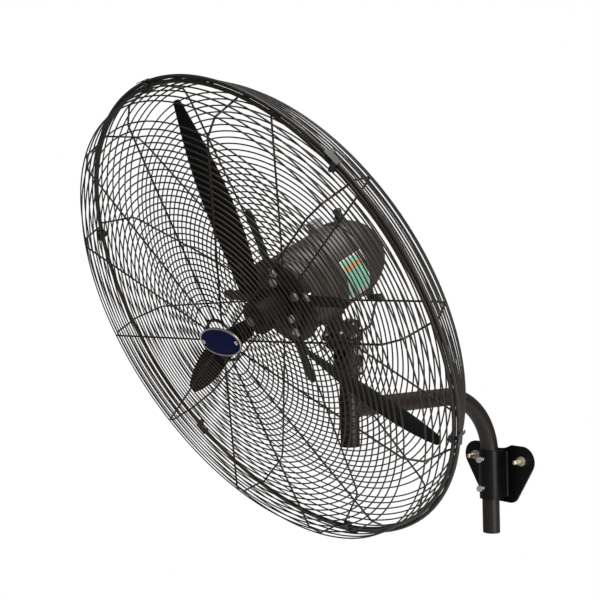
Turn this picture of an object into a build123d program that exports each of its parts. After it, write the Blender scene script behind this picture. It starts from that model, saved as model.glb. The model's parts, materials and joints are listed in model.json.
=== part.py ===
"""Wall mounted fan, 750 mm class: wall bracket, swivelling tube arm, tilting fork, oscillating head.

Millimetres, +Z up.  The origin lies on the wall, halfway between the two wall anchors, and the fan
blows towards -Y.  The head is modelled level in its own frame (x right, y to the rear along the fan
axis, z up, origin at the middle of the guard's rim) and is then hung on its tilt bolt.
"""
from build123d import *
import os
from math import atan2, cos, degrees, exp, hypot, pi, radians, sin

# ------------------------------------------------------------------ driving sizes
# wall bracket
ANCHOR_SPACING = 110.0
PLATE_THICK = 4.0
PLATE_LOBE_RADIUS = 27.0
PLATE_FOOT_RADIUS = 20.0
PLATE_FOOT_SPREAD = 52.0
PLATE_FOOT_DROP = 61.0
PLATE_DIP_WIDTH = 60.0
PLATE_DIP_DEPTH = 8.0
CLAMP_WALL = 3.5
CLAMP_GAP = 1.0
CLAMP_LEG = 7.5
CLAMP_TOP = 18.0
CLAMP_HEIGHT = 90.0
SET_SCREW_INSET = 15.0
SET_SCREW_SPACING = 54.0
SET_SCREW_STICK_OUT = 13.5

# anchors and screws
ANCHOR_RADIUS = 4.0
ANCHOR_THREAD_RADIUS = 3.8
ANCHOR_NECK_RADIUS = 3.0
ANCHOR_SHANK_END = 4.0
ANCHOR_DEPTH = 16.0
ANCHOR_CONE = 4.0
ANCHOR_STICK_OUT = 27.0
ANCHOR_SLEEVE_WALL = 0.7
M6_RADIUS = 3.0
M6_FLATS = 10.0
M6_HEAD = 5.0
M8_FLATS = 13.0
M8_NUT = 6.5
WASHER_RADIUS = 9.0
WASHER_THICK = 1.6

# tube arm
TUBE_RADIUS = 16.0
TUBE_WALL = 2.0
ARM_FOOT_Z = -136.0
ARM_RUN_Z = 126.5
ARM_REACH = 347.4
ARM_BEND_RADIUS = 120.0
NECK_FOOT_Z = 63.6
FORK_FOOT_Z = 182.0
FORK_RADIUS = 24.5
FORK_SOCKET_DEPTH = 22.0
TILT_Z = 225.0
FORK_EAR_RADIUS = 13.5
TONGUE_RADIUS = 14.0
TONGUE_WIDTH = 26.0
TILT_BOLT_RADIUS = 5.0
TILT_FLATS = 17.0
TILT_HEAD = 6.5
REST_TILT = 26.76

# oscillating foot of the head
PIVOT_Y = 149.0
PIVOT_DROP = 133.0
PIVOT_RADIUS = 7.0
PIVOT_COLLAR_RADIUS = 12.5
BASE_RADIUS = 24.0
BASE_THICK = 7.0
FOOT_GAP = 7.5
PEDESTAL_FOOT_RADIUS = 17.0
PEDESTAL_HEIGHT = 42.0
PEDESTAL_FRONT = 108.0
PEDESTAL_REAR = 172.0
PEDESTAL_HALF_WIDTH = 26.0
PEDESTAL_WAIST = 30.0
LINK_ANCHOR_X = 26.0
LINK_SCREW_RADIUS = 3.0
LINK_EYE_RADIUS = 9.5
LINK_EYE_BORE = 6.1
LINK_THICK = 3.0
LINK_WIDTH = 10.0
CRANK_X = 15.0
CRANK_Y = 222.0
CRANK_THROW = 18.8
CRANK_SHAFT_RADIUS = 5.0
CRANK_THICK = 4.0
CRANK_END_RADIUS = 7.0

# guard; the front rim ring nests inside the rear one
RIM_RADIUS = 384.3
RIM_WIRE = 5.0
RIM_NEST = 6.0
RIM_STEP = 2.0
RIB_WIRE = 3.0
RIB_COUNT = 12
RIB_BEND = 8.0
RING_WIRE = 2.0
RING_FIRST = 58.5
RING_COUNT = 30
WELD_SINK = 0.5
FRONT_FLAT_Y = -60.5
REAR_KNEE = (150.0, 64.5)
# bends of the ribs and other places near the rim: inset from the rim's radius, and y
FRONT_EDGE = (43.3, -57.5)
FRONT_SHOULDER = (19.9, -42.8)
REAR_EDGE = (46.3, 54.7)
REAR_SHOULDER = (28.3, 51.5)
LAST_RING_INSET = 42.8
FACE_INSET = 39.8
# levels of the rings round the side walls, besides the one at the shoulder
FRONT_WALL_RINGS = (-33.0, -22.0)
REAR_WALL_RINGS = (44.0, 35.0, 26.0)
FRONT_CENTRE_RING = 34.0
MOUNT_RING_OUTER = 72.0
CROSS_SPAN = 300.0
CROSS_WIDTH = 25.0
CROSS_THICK = 2.8
CROSS_HUB_RADIUS = 46.0
CROSS_HOLE_RADIUS = 24.0
CROSS_FRONT_Y = 60.0
GUARD_SCREW_RADII = (36.0, 58.0)
CLIP_COUNT = 6
CLIP_ANGLE = -4.0
CLIP_WIDTH = 22.0
CLIP_THICK = 1.5
CLIP_TAB = 10.0
CLIP_BLOCK = 10.0
CLIP_SCREW_RADIUS = 2.0
BADGE_HALF_WIDTH = 52.5
BADGE_HALF_HEIGHT = 24.0
BADGE_THICK = 3.0
BADGE_EDGE = 2.0
BADGE_RIVET_X = 43.0
BADGE_SPOKE = 6.0

# motor
MOTOR_RADIUS = 66.0
MOTOR_FRONT_Y = 70.0
SHIELD_SEAM_Y = 100.0
COVER_SEAM_Y = 203.0
MOTOR_REAR_Y = 290.0
SHIELD_WALL = 5.0
SHELL_WALL = 4.0
COVER_WALL = 3.0
COVER_CROWN_RADIUS = 38.0
COVER_CROWN = 3.0
COVER_SKIRT = 30.0
SPIGOT_RADIUS = 42.9
SHAFT_RADIUS = 8.0
BEARING_RADIUS = 20.0
BEARING_WIDTH = 12.0
BEARING_LIP = 3.0
ROTOR_RADIUS = 34.0
AIR_GAP = 0.6
CORE_LENGTH = 60.0
CORE_FRONT_Y = 114.0
WINDING_LENGTH = 11.0
TIE_BOLT_CIRCLE = 57.5
TIE_BOLT_RADIUS = 2.5
REAR_SHIELD_THICK = 8.0
PLATE_Y = (148.0, 197.0)
PLATE_ANGLES = (70.0, 133.0)
RATING_PLATE_THICK = 0.6
BOX_Y = (165.0, 210.0)
BOX_HALF_WIDTH = 30.0
BOX_TOP = 84.0
BOX_LID = 4.0
BOX_WALL = 3.0
GLAND_RADIUS = 9.0
KNOB_RADIUS = 7.5
KNOB_HEIGHT = 14.0
KNOB_STEM_RADIUS = 4.0
KNOB_FOOT = 71.0
WORM_RADIUS = 4.5
WORM_WHEEL_RADIUS = 10.0
WORM_WHEEL_TEETH = 20

# rotor
HUB_RADIUS = 28.0
HUB_Y = (5.0, 55.0)
BLADE_COUNT = 3
BLADE_Y = 11.0
BLADE_ROOT = 40.0
BLADE_TIP_INSET = 38.3
BLADE_THICK = 2.2
BLADE_BULGE = 6.0
BLADE_SWEEP = 24.0
BLADE_SWEEP_LENGTH = 80.0
BLADE_ROOT_PITCH = 36.0
BLADE_UNTWIST = 0.125
# distance from the root, and width there; the distances stretch with the blade
BLADE_WIDTHS = ((0.0, 25.0), (60.0, 37.0), (140.0, 49.5), (200.0, 49.5), (260.0, 36.5), (306.0, 16.0))
BLADE_TIP_FILLET = 6.5
BLADE_ANGLE = 0.0
BLADE_RIVET_RADII = (58.0, 73.0, 88.0)
BLADE_RIVET_RADIUS = 2.5
HUB_ARM_WIDTH = 24.0
HUB_ARM_THICK = 4.0
HUB_ARM_TIP = 97.0

# clearances
RUNNING = 0.05
LOOSE = 0.3
SEAT = 0.2
WINDOW = 1.0

# ------------------------------------------------------------------ places worked out from them
PIN_Y = -(PLATE_THICK + CLAMP_LEG + TUBE_RADIUS)
NECK_Y = PIN_Y - ARM_REACH
HEAD_FRAME = Pos(0, NECK_Y, TILT_Z) * Rot(REST_TILT, 0, 0) * Pos(0, -PIVOT_Y, PIVOT_DROP)
BASE_TOP = -PIVOT_DROP + TONGUE_RADIUS + BASE_THICK
PEDESTAL_FOOT = BASE_TOP + FOOT_GAP
LINK_TOP = BASE_TOP + LOOSE + 0.5 + LINK_THICK
CRANK_BOTTOM = LINK_TOP + LOOSE
CLAMP_INNER = TUBE_RADIUS + CLAMP_GAP
CLAMP_OUTER = CLAMP_INNER + CLAMP_WALL
SHELL_BORE = MOTOR_RADIUS - SHELL_WALL
CORE_REAR_Y = CORE_FRONT_Y + CORE_LENGTH
REAR_SHIELD_Y = COVER_SEAM_Y - REAR_SHIELD_THICK
CLIP_SIDE = RIM_STEP / 2 + RIM_WIRE / 2 + SEAT
CLIP_SEAT = RIM_RADIUS + RIM_WIRE / 2 + SEAT
CLIP_BLOCK_SEAT = RIM_RADIUS - RIM_NEST - RIM_WIRE / 2 - SEAT
CLIP_SCREW_R = CLIP_BLOCK_SEAT - CLIP_BLOCK / 2
RING_PITCH = (RIM_RADIUS - LAST_RING_INSET - RING_FIRST) / (RING_COUNT - 1)
BLADE_TIP = RIM_RADIUS - BLADE_TIP_INSET
BLADE_STRETCH = (BLADE_TIP - BLADE_ROOT) / BLADE_WIDTHS[-1][0]

UPWARD = (Align.CENTER, Align.CENTER, Align.MIN)
TO_Y = Rot(-90, 0, 0)
TO_X = Rot(0, 90, 0)


# ------------------------------------------------------------------ small tools
def rod_x(radius, start, end, y=0.0, z=0.0):
    return Pos(start, y, z) * TO_X * Cylinder(radius, end - start, align=UPWARD)


def rod_y(radius, start, end, x=0.0, z=0.0):
    return Pos(x, start, z) * TO_Y * Cylinder(radius, end - start, align=UPWARD)


def rod_z(radius, start, end, x=0.0, y=0.0):
    return Pos(x, y, start) * Cylinder(radius, end - start, align=UPWARD)


def block(x_range, y_range, z_range):
    size = [high - low for low, high in (x_range, y_range, z_range)]
    return Pos(x_range[0], y_range[0], z_range[0]) * Box(*size, align=(Align.MIN,) * 3)


def hex_bar(flats, length):
    return extrude(RegularPolygon(flats / 2, 6, major_radius=False), length)


def turned(*points):
    """A body of revolution about the fan axis, from (radius, y) corners."""
    return revolve(make_face(Polyline(*points, close=True)), Axis.Y)


def group(solids):
    return Compound(list(solids))


def save(name, shape):
    export_step(shape, f"parts/{name}.step")


def save_head(name, shape):
    save(name, HEAD_FRAME * shape)


# ------------------------------------------------------------------ wall bracket
def wall_plate():
    lobe_x = ANCHOR_SPACING / 2
    foot_x = PLATE_FOOT_SPREAD / 2
    circles = [Pos(side * lobe_x, 0) * Circle(PLATE_LOBE_RADIUS) for side in (-1, 1)]
    circles += [Pos(side * foot_x, -PLATE_FOOT_DROP) * Circle(PLATE_FOOT_RADIUS) for side in (-1, 1)]
    outline = make_hull([edge for circle in circles for edge in circle.edges()])
    top = PLATE_LOBE_RADIUS
    half = PLATE_DIP_WIDTH / 2
    dip_edge = ThreePointArc((-half, top), (0, top - PLATE_DIP_DEPTH), (half, top))
    above = Polyline((half, top), (half, top + 1), (-half, top + 1), (-half, top))
    outline -= make_face(Curve() + [dip_edge, above])
    holes = [Pos(side * lobe_x, 0) * Circle(ANCHOR_RADIUS + 0.75) for side in (-1, 1)]
    plate = extrude(outline - holes, PLATE_THICK)
    return Rot(90, 0, 0) * plate


def u_clamp():
    strip = Circle(CLAMP_OUTER) - Circle(CLAMP_INNER)
    strip -= Pos(0, CLAMP_OUTER) * Rectangle(3 * CLAMP_OUTER, 2 * CLAMP_OUTER)
    leg_length = CLAMP_LEG + TUBE_RADIUS
    leg_x = CLAMP_INNER + CLAMP_WALL / 2
    for side in (-1, 1):
        strip += Pos(side * leg_x, leg_length / 2) * Rectangle(CLAMP_WALL, leg_length)
    clamp = Pos(0, PIN_Y, CLAMP_TOP - CLAMP_HEIGHT) * extrude(strip, CLAMP_HEIGHT)
    for z in set_screw_levels():
        clamp -= rod_y(M6_RADIUS + RUNNING, PIN_Y - CLAMP_OUTER - 1, PIN_Y, z=z)
    return clamp


def set_screw_levels():
    top = CLAMP_TOP - SET_SCREW_INSET
    return (top, top - SET_SCREW_SPACING)


def clamp_set_screws():
    """Hexagon set screws that bear on the arm's tube, one above the other."""
    tip = PIN_Y - TUBE_RADIUS - LOOSE
    head_start = PIN_Y - CLAMP_OUTER - SET_SCREW_STICK_OUT
    for z in set_screw_levels():
        head = Pos(0, head_start, z) * TO_Y * hex_bar(M6_FLATS, M6_HEAD)
        yield head + rod_y(M6_RADIUS, head_start, tip, z=z)


def anchor_places():
    return [(side * ANCHOR_SPACING / 2, 0.0) for side in (-1, 1)]


def anchor_studs():
    """Studs with a plain thread out to the front, and a waist and a cone in the wall."""
    cone_start = ANCHOR_DEPTH - ANCHOR_CONE
    for x, z in anchor_places():
        thread = rod_y(ANCHOR_THREAD_RADIUS, -ANCHOR_STICK_OUT, 0, x, z)
        shank = rod_y(ANCHOR_RADIUS, 0, ANCHOR_SHANK_END, x, z)
        neck = rod_y(ANCHOR_NECK_RADIUS, ANCHOR_SHANK_END, cone_start, x, z)
        cone = Cone(ANCHOR_NECK_RADIUS, ANCHOR_RADIUS, ANCHOR_CONE, align=UPWARD)
        yield thread + shank + neck + Pos(x, cone_start, z) * TO_Y * cone


def anchor_sleeves():
    """Expansion sleeves on the studs' waists."""
    start = ANCHOR_SHANK_END + LOOSE
    end = ANCHOR_DEPTH - ANCHOR_CONE - LOOSE
    bore = ANCHOR_NECK_RADIUS + RUNNING
    for x, z in anchor_places():
        sleeve = rod_y(bore + ANCHOR_SLEEVE_WALL, start, end, x, z)
        yield sleeve - rod_y(bore, start - 1, end + 1, x, z)


def anchor_washers():
    front = -(PLATE_THICK + WASHER_THICK)
    for x, z in anchor_places():
        washer = rod_y(WASHER_RADIUS, front, -PLATE_THICK, x, z)
        yield washer - rod_y(ANCHOR_RADIUS + RUNNING, front - 1, 0, x, z)


def anchor_nuts():
    face = -(PLATE_THICK + WASHER_THICK)
    for x, z in anchor_places():
        nut = Pos(x, face - M8_NUT, z) * TO_Y * hex_bar(M8_FLATS, M8_NUT)
        yield nut - rod_y(ANCHOR_THREAD_RADIUS + RUNNING, face - 2 * M8_NUT, face + 1, x, z)


# ------------------------------------------------------------------ tube arm and neck
def arm_tube():
    foot = (0, PIN_Y, ARM_FOOT_Z)
    corner = (0, PIN_Y, ARM_RUN_Z)
    neck = (0, NECK_Y, ARM_RUN_Z)
    path = FilletPolyline(foot, corner, neck, radius=ARM_BEND_RADIUS)
    section = Pos(*foot) * (Circle(TUBE_RADIUS) - Circle(TUBE_RADIUS - TUBE_WALL))
    tube = sweep(section, path=path)
    return tube - rod_z(TUBE_RADIUS + RUNNING, NECK_FOOT_Z, TILT_Z, y=NECK_Y)


def neck_tube():
    top = FORK_FOOT_Z + FORK_SOCKET_DEPTH - LOOSE
    tube = rod_z(TUBE_RADIUS, NECK_FOOT_Z, top, y=NECK_Y)
    return tube - rod_z(TUBE_RADIUS - TUBE_WALL, NECK_FOOT_Z - 1, top + 1, y=NECK_Y)


def neck_fork():
    """Cast socket on the neck tube with two ears that hold the tilt bolt."""
    foot = FORK_FOOT_Z - TILT_Z
    stem = rod_z(FORK_RADIUS, FORK_FOOT_Z, TILT_Z + FORK_EAR_RADIUS, y=NECK_Y)
    stem = chamfer(stem.edges().sort_by(Axis.Z)[0], 2.0)
    shoulder = -TONGUE_RADIUS - LOOSE
    cheeks = Polyline((-FORK_RADIUS, foot), (FORK_RADIUS, foot), (FORK_RADIUS, shoulder - 6),
                      (FORK_EAR_RADIUS, 0), (-FORK_EAR_RADIUS, 0), (-FORK_RADIUS, shoulder - 6), close=True)
    side_view = Circle(FORK_EAR_RADIUS) + make_face(cheeks)
    facing_x = Plane((0, NECK_Y, TILT_Z), x_dir=(0, 1, 0), z_dir=(1, 0, 0))
    fork = stem & extrude(facing_x * side_view, 2 * FORK_RADIUS, both=True)
    slot_half = TONGUE_WIDTH / 2 + LOOSE
    fork -= block((-slot_half, slot_half), (NECK_Y - 40, NECK_Y + 40), (TILT_Z + shoulder, TILT_Z + 40))
    fork -= rod_z(TUBE_RADIUS + RUNNING, FORK_FOOT_Z - 1, FORK_FOOT_Z + FORK_SOCKET_DEPTH, y=NECK_Y)
    fork -= rod_x(TILT_BOLT_RADIUS + RUNNING, -2 * FORK_RADIUS, 2 * FORK_RADIUS, NECK_Y, TILT_Z)
    fork -= rod_x(M6_RADIUS + RUNNING, 0, 2 * FORK_RADIUS, NECK_Y, fork_screw_level())
    return fork


def fork_screw_level():
    return FORK_FOOT_Z + FORK_SOCKET_DEPTH / 2


def fork_set_screw():
    tip = TUBE_RADIUS + LOOSE
    head = Pos(FORK_RADIUS + 1, NECK_Y, fork_screw_level()) * TO_X * hex_bar(M6_FLATS, M6_HEAD)
    return head + rod_x(M6_RADIUS, tip, FORK_RADIUS + 2, NECK_Y, fork_screw_level())


def tilt_bolt():
    start = -(FORK_RADIUS + WASHER_THICK)
    end = FORK_RADIUS + WASHER_THICK + M8_NUT + 3
    head = Pos(start - TILT_HEAD, NECK_Y, TILT_Z) * TO_X * hex_bar(TILT_FLATS, TILT_HEAD)
    return head + rod_x(TILT_BOLT_RADIUS, start, end, NECK_Y, TILT_Z)


def tilt_nut():
    start = FORK_RADIUS + WASHER_THICK
    nut = Pos(start, NECK_Y, TILT_Z) * TO_X * hex_bar(TILT_FLATS, M8_NUT)
    return nut - rod_x(TILT_BOLT_RADIUS + RUNNING, start - 1, start + 2 * M8_NUT, NECK_Y, TILT_Z)


def tilt_washers():
    for start in (-FORK_RADIUS - WASHER_THICK, FORK_RADIUS):
        washer = rod_x(TILT_FLATS / 2 + 1.5, start, start + WASHER_THICK, NECK_Y, TILT_Z)
        yield washer - rod_x(TILT_BOLT_RADIUS + RUNNING, start - 1, start + 3, NECK_Y, TILT_Z)


# ------------------------------------------------------------------ swivel base, pivot and linkage
def swivel_base():
    """Tongue on the tilt bolt, and the round table that the head turns on, with the link's ear."""
    axis_z = -PIVOT_DROP
    tongue = rod_x(TONGUE_RADIUS, -TONGUE_WIDTH / 2, TONGUE_WIDTH / 2, PIVOT_Y, axis_z)
    half = TONGUE_WIDTH / 2
    table_bottom = BASE_TOP - BASE_THICK
    web = block((-half, half), (PIVOT_Y - TONGUE_RADIUS, PIVOT_Y + TONGUE_RADIUS), (axis_z, table_bottom + 1))
    outline = Pos(0, PIVOT_Y) * Circle(BASE_RADIUS)
    outline += Pos(LINK_ANCHOR_X, PIVOT_Y) * Circle(LINK_EYE_RADIUS + 1)
    outline += Pos(LINK_ANCHOR_X / 2, PIVOT_Y) * Rectangle(LINK_ANCHOR_X, 2 * LINK_EYE_RADIUS + 2)
    table = Pos(0, 0, table_bottom + SEAT) * extrude(outline, BASE_THICK - SEAT)
    base = tongue + web + table
    base -= rod_x(TILT_BOLT_RADIUS + RUNNING, -half - 1, half + 1, PIVOT_Y, axis_z)
    base -= rod_z(pivot_thread_radius(), BASE_TOP - BASE_THICK, BASE_TOP + 1, y=PIVOT_Y)
    base -= rod_z(LINK_SCREW_RADIUS + RUNNING, table_bottom - 1, BASE_TOP + 1, LINK_ANCHOR_X, PIVOT_Y)
    return base


def pivot_thread_radius():
    return PIVOT_RADIUS - 1.0


def pivot_top():
    return PEDESTAL_FOOT + 0.6 * PEDESTAL_HEIGHT


def pivot_pin():
    """Shouldered pin screwed into the table; its collar carries the pedestal."""
    pin = rod_z(PIVOT_RADIUS, BASE_TOP, pivot_top(), y=PIVOT_Y)
    collar = rod_z(PIVOT_COLLAR_RADIUS, BASE_TOP, PEDESTAL_FOOT - SEAT, y=PIVOT_Y)
    thread = rod_z(pivot_thread_radius() - RUNNING, BASE_TOP - BASE_THICK + 1, BASE_TOP, y=PIVOT_Y)
    return chamfer(pin.edges().sort_by(Axis.Z)[-1], 1.0) + collar + thread


def link_anchor_screw():
    """Shoulder screw through the link's eye; the eye is an open pivot with play."""
    level = LINK_TOP + LOOSE
    shank = rod_z(LINK_SCREW_RADIUS, BASE_TOP - BASE_THICK, level, LINK_ANCHOR_X, PIVOT_Y)
    washer = rod_z(LINK_EYE_RADIUS + 0.5, level, level + 1.0, LINK_ANCHOR_X, PIVOT_Y)
    head = rod_z(LINK_SCREW_RADIUS + 2, level + 1.0, level + 2.4, LINK_ANCHOR_X, PIVOT_Y)
    return shank + washer + head


def motor_pedestal():
    foot_plane = Plane.XY.offset(PEDESTAL_FOOT)
    waist_plane = Plane.XY.offset(PEDESTAL_FOOT + 10)
    top_plane = Plane.XY.offset(PEDESTAL_FOOT + PEDESTAL_HEIGHT + 4)
    middle_y = (PEDESTAL_FRONT + PEDESTAL_REAR) / 2
    saddle = RectangleRounded(2 * PEDESTAL_HALF_WIDTH, PEDESTAL_REAR - PEDESTAL_FRONT, 8)
    foot = foot_plane * Pos(0, PIVOT_Y) * Circle(PEDESTAL_FOOT_RADIUS)
    boss = extrude(foot, 12)
    waist = RectangleRounded(PEDESTAL_WAIST, PEDESTAL_WAIST, PEDESTAL_WAIST / 2 - 0.5)
    cone = loft([waist_plane * Pos(0, PIVOT_Y) * waist, top_plane * Pos(0, middle_y) * saddle])
    body = boss + cone
    body -= rod_y(MOTOR_RADIUS + SEAT, PEDESTAL_FRONT - 20, PEDESTAL_REAR + 20)
    body -= rod_z(PIVOT_RADIUS + RUNNING, PEDESTAL_FOOT - 1, pivot_top() + 1, y=PIVOT_Y)
    return body


def crank():
    """Upright crank shaft with its arm and the pin that carries the link."""
    shaft = rod_z(CRANK_SHAFT_RADIUS, CRANK_BOTTOM, WORM_WHEEL_RADIUS, CRANK_X, CRANK_Y)
    pin_x = CRANK_X + CRANK_THROW
    ends = [Pos(CRANK_X, CRANK_Y) * Circle(CRANK_END_RADIUS + 1), Pos(pin_x, CRANK_Y) * Circle(CRANK_END_RADIUS)]
    arm = make_hull([edge for end in ends for edge in end.edges()])
    arm = Pos(0, 0, CRANK_BOTTOM) * extrude(arm, CRANK_THICK)
    pin_foot = LINK_TOP - LINK_THICK - 1.5
    pin = rod_z(LINK_SCREW_RADIUS, pin_foot, CRANK_BOTTOM, pin_x, CRANK_Y)
    return shaft + arm + pin


def crank_clip():
    """Spring clip under the link on the crank's pin."""
    pin_x = CRANK_X + CRANK_THROW
    top = LINK_TOP - LINK_THICK - SEAT
    clip = rod_z(LINK_SCREW_RADIUS + 2.5, top - 0.8, top, pin_x, CRANK_Y)
    return clip - rod_z(LINK_SCREW_RADIUS + RUNNING, top - 3, top + 1, pin_x, CRANK_Y)


def link_rod():
    near = (LINK_ANCHOR_X, PIVOT_Y)
    far = (CRANK_X + CRANK_THROW, CRANK_Y)
    length = hypot(far[0] - near[0], far[1] - near[1])
    turn = degrees(atan2(far[1] - near[1], far[0] - near[0]))
    bar = Pos(length / 2, 0) * Rectangle(length, LINK_WIDTH)
    shape = bar + Circle(LINK_EYE_RADIUS) + Pos(length, 0) * Circle(LINK_WIDTH / 2 + 1.5)
    shape -= Circle(LINK_EYE_BORE)
    shape -= Pos(length, 0) * Circle(LINK_SCREW_RADIUS + RUNNING)
    return Pos(near[0], near[1], LINK_TOP - LINK_THICK) * Rot(0, 0, turn) * extrude(shape, LINK_THICK)


def worm_wheel():
    wheel = Circle(WORM_WHEEL_RADIUS) - Circle(CRANK_SHAFT_RADIUS + RUNNING)
    notch = Pos(WORM_WHEEL_RADIUS, 0) * Rectangle(2.0, pi * WORM_WHEEL_RADIUS / WORM_WHEEL_TEETH)
    wheel -= [Rot(0, 0, 360 * i / WORM_WHEEL_TEETH) * notch for i in range(WORM_WHEEL_TEETH)]
    return Pos(CRANK_X, CRANK_Y, -4) * extrude(wheel, 8)


# ------------------------------------------------------------------ motor
def front_endshield():
    bore = BEARING_RADIUS + RUNNING
    spigot_front = CROSS_FRONT_Y + CROSS_THICK
    outer = MOTOR_RADIUS
    shield = turned((bore, spigot_front), (SPIGOT_RADIUS, spigot_front), (SPIGOT_RADIUS, MOTOR_FRONT_Y),
                    (outer - 5, MOTOR_FRONT_Y), (outer, MOTOR_FRONT_Y + 5), (outer, SHIELD_SEAM_Y),
                    (outer - SHIELD_WALL, SHIELD_SEAM_Y), (outer - SHIELD_WALL, MOTOR_FRONT_Y + 10),
                    (bore + 6, MOTOR_FRONT_Y + 10), (bore + 6, spigot_front + BEARING_WIDTH + 6),
                    (bore, spigot_front + BEARING_WIDTH + 6))
    shield += rod_y(bore + 1, spigot_front, spigot_front + BEARING_LIP)
    shield -= rod_y(SHAFT_RADIUS + WINDOW, spigot_front - 1, spigot_front + BEARING_LIP + 1)
    for radius in GUARD_SCREW_RADII:
        for angle in range(4):
            tool = rod_y(M6_RADIUS + RUNNING, 0, guard_screw_tip(radius) + 1, x=radius)
            shield -= Rot(0, 90 * angle, 0) * tool
    for place in tie_bolt_places():
        shield -= rod_y(TIE_BOLT_RADIUS + RUNNING, MOTOR_FRONT_Y + 5, SHIELD_SEAM_Y + 1, *place)
    return shield


def guard_screw_tip(radius):
    return (CROSS_FRONT_Y + CROSS_THICK if radius < SPIGOT_RADIUS else MOTOR_FRONT_Y) + 6.0


def tie_bolt_places():
    angles = (radians(45 + 90 * i) for i in range(4))
    return [(TIE_BOLT_CIRCLE * cos(a), TIE_BOLT_CIRCLE * sin(a)) for a in angles]


def motor_shell():
    shell = rod_y(MOTOR_RADIUS, SHIELD_SEAM_Y, COVER_SEAM_Y)
    return shell - rod_y(SHELL_BORE, SHIELD_SEAM_Y - 1, COVER_SEAM_Y + 1)


def rear_endshield():
    outer = SHELL_BORE - RUNNING
    boss_front = REAR_SHIELD_Y - 8
    bore = BEARING_RADIUS + RUNNING
    shield = turned((SHAFT_RADIUS + WINDOW, COVER_SEAM_Y), (outer, COVER_SEAM_Y), (outer, REAR_SHIELD_Y),
                    (bore + 5, REAR_SHIELD_Y), (bore + 5, boss_front), (bore, boss_front),
                    (bore, boss_front + BEARING_WIDTH), (SHAFT_RADIUS + WINDOW, boss_front + BEARING_WIDTH))
    for place in tie_bolt_places():
        shield -= rod_y(TIE_BOLT_RADIUS + RUNNING, REAR_SHIELD_Y - 1, COVER_SEAM_Y + 1, *place)
    return shield


def rear_cover():
    """Domed cap over the oscillating gear, with bosses for the crank shaft and the knob."""
    dome = dome_of_revolution(0.0)
    hollow = dome_of_revolution(COVER_WALL)
    hollow += rod_y(MOTOR_RADIUS - COVER_WALL, COVER_SEAM_Y - 5, COVER_SEAM_Y + 5)
    crank_boss = rod_z(CRANK_SHAFT_RADIUS + 4, crank_boss_foot(), -WORM_WHEEL_RADIUS - 10, CRANK_X, CRANK_Y)
    knob_boss = rod_z(KNOB_STEM_RADIUS + 4, WORM_WHEEL_RADIUS + 12, KNOB_FOOT - 1.5, CRANK_X, CRANK_Y)
    cover = dome - hollow + crank_boss + knob_boss
    cover -= rod_z(CRANK_SHAFT_RADIUS + RUNNING, crank_boss_foot() - 1, 0, CRANK_X, CRANK_Y)
    cover -= rod_z(KNOB_STEM_RADIUS + RUNNING, 0, KNOB_FOOT, CRANK_X, CRANK_Y)
    return cover


def crank_boss_foot():
    return CRANK_BOTTOM + CRANK_THICK + LOOSE


def dome_of_revolution(wall):
    """The cap's outer form, or the form inside it when wall is the cap's thickness."""
    rear = MOTOR_REAR_Y - wall
    side = MOTOR_RADIUS - wall
    corners = [(0, rear), (COVER_CROWN_RADIUS - wall, rear - COVER_CROWN), (side - 7, rear - 20),
               (side, COVER_SEAM_Y + COVER_SKIRT), (side, COVER_SEAM_Y)]
    rounded = FilletPolyline(*corners, radius=[20, 16, 60])
    outline = Curve() + [rounded, Polyline(corners[-1], (0, COVER_SEAM_Y), corners[0])]
    return revolve(make_face(outline), Axis.Y)


def stator():
    core = rod_y(SHELL_BORE - RUNNING, CORE_FRONT_Y, CORE_REAR_Y)
    core -= rod_y(ROTOR_RADIUS + AIR_GAP, CORE_FRONT_Y - 1, CORE_REAR_Y + 1)
    for place in tie_bolt_places():
        core -= rod_y(TIE_BOLT_RADIUS + LOOSE, CORE_FRONT_Y - 1, CORE_REAR_Y + 1, *place)
    return core


def windings():
    inner = ROTOR_RADIUS + 4
    outer = TIE_BOLT_CIRCLE - TIE_BOLT_RADIUS - 2
    for start in (CORE_FRONT_Y - WINDING_LENGTH, CORE_REAR_Y):
        end = start + WINDING_LENGTH
        yield rod_y(outer, start, end) - rod_y(inner, start - 1, end + 1)


def bearings():
    starts = (CROSS_FRONT_Y + CROSS_THICK + BEARING_LIP, REAR_SHIELD_Y - 8 + RUNNING)
    for start in starts:
        ring = rod_y(BEARING_RADIUS, start, start + BEARING_WIDTH - RUNNING * 2)
        yield ring - rod_y(SHAFT_RADIUS + RUNNING, start - 1, start + BEARING_WIDTH + 1)


def tie_bolts():
    for x, z in tie_bolt_places():
        head = Pos(x, COVER_SEAM_Y, z) * TO_Y * hex_bar(8, 3.5)
        yield head + rod_y(TIE_BOLT_RADIUS, MOTOR_FRONT_Y + 6, COVER_SEAM_Y + 1, x, z)


def rating_plate():
    """Curved blank label on the shell's right side."""
    start, end = PLATE_ANGLES
    inner = MOTOR_RADIUS + SEAT
    outer = inner + RATING_PLATE_THICK

    def at(radius, angle):
        return (radius * sin(radians(angle)), radius * cos(radians(angle)))

    middle = (start + end) / 2
    outline = [ThreePointArc(at(outer, start), at(outer, middle), at(outer, end)),
               Line(at(outer, end), at(inner, end)),
               ThreePointArc(at(inner, end), at(inner, middle), at(inner, start)),
               Line(at(inner, start), at(outer, start))]
    label = extrude(make_face(Curve() + outline), PLATE_Y[1] - PLATE_Y[0])
    return Pos(0, PLATE_Y[1], 0) * Rot(90, 0, 0) * label


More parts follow.
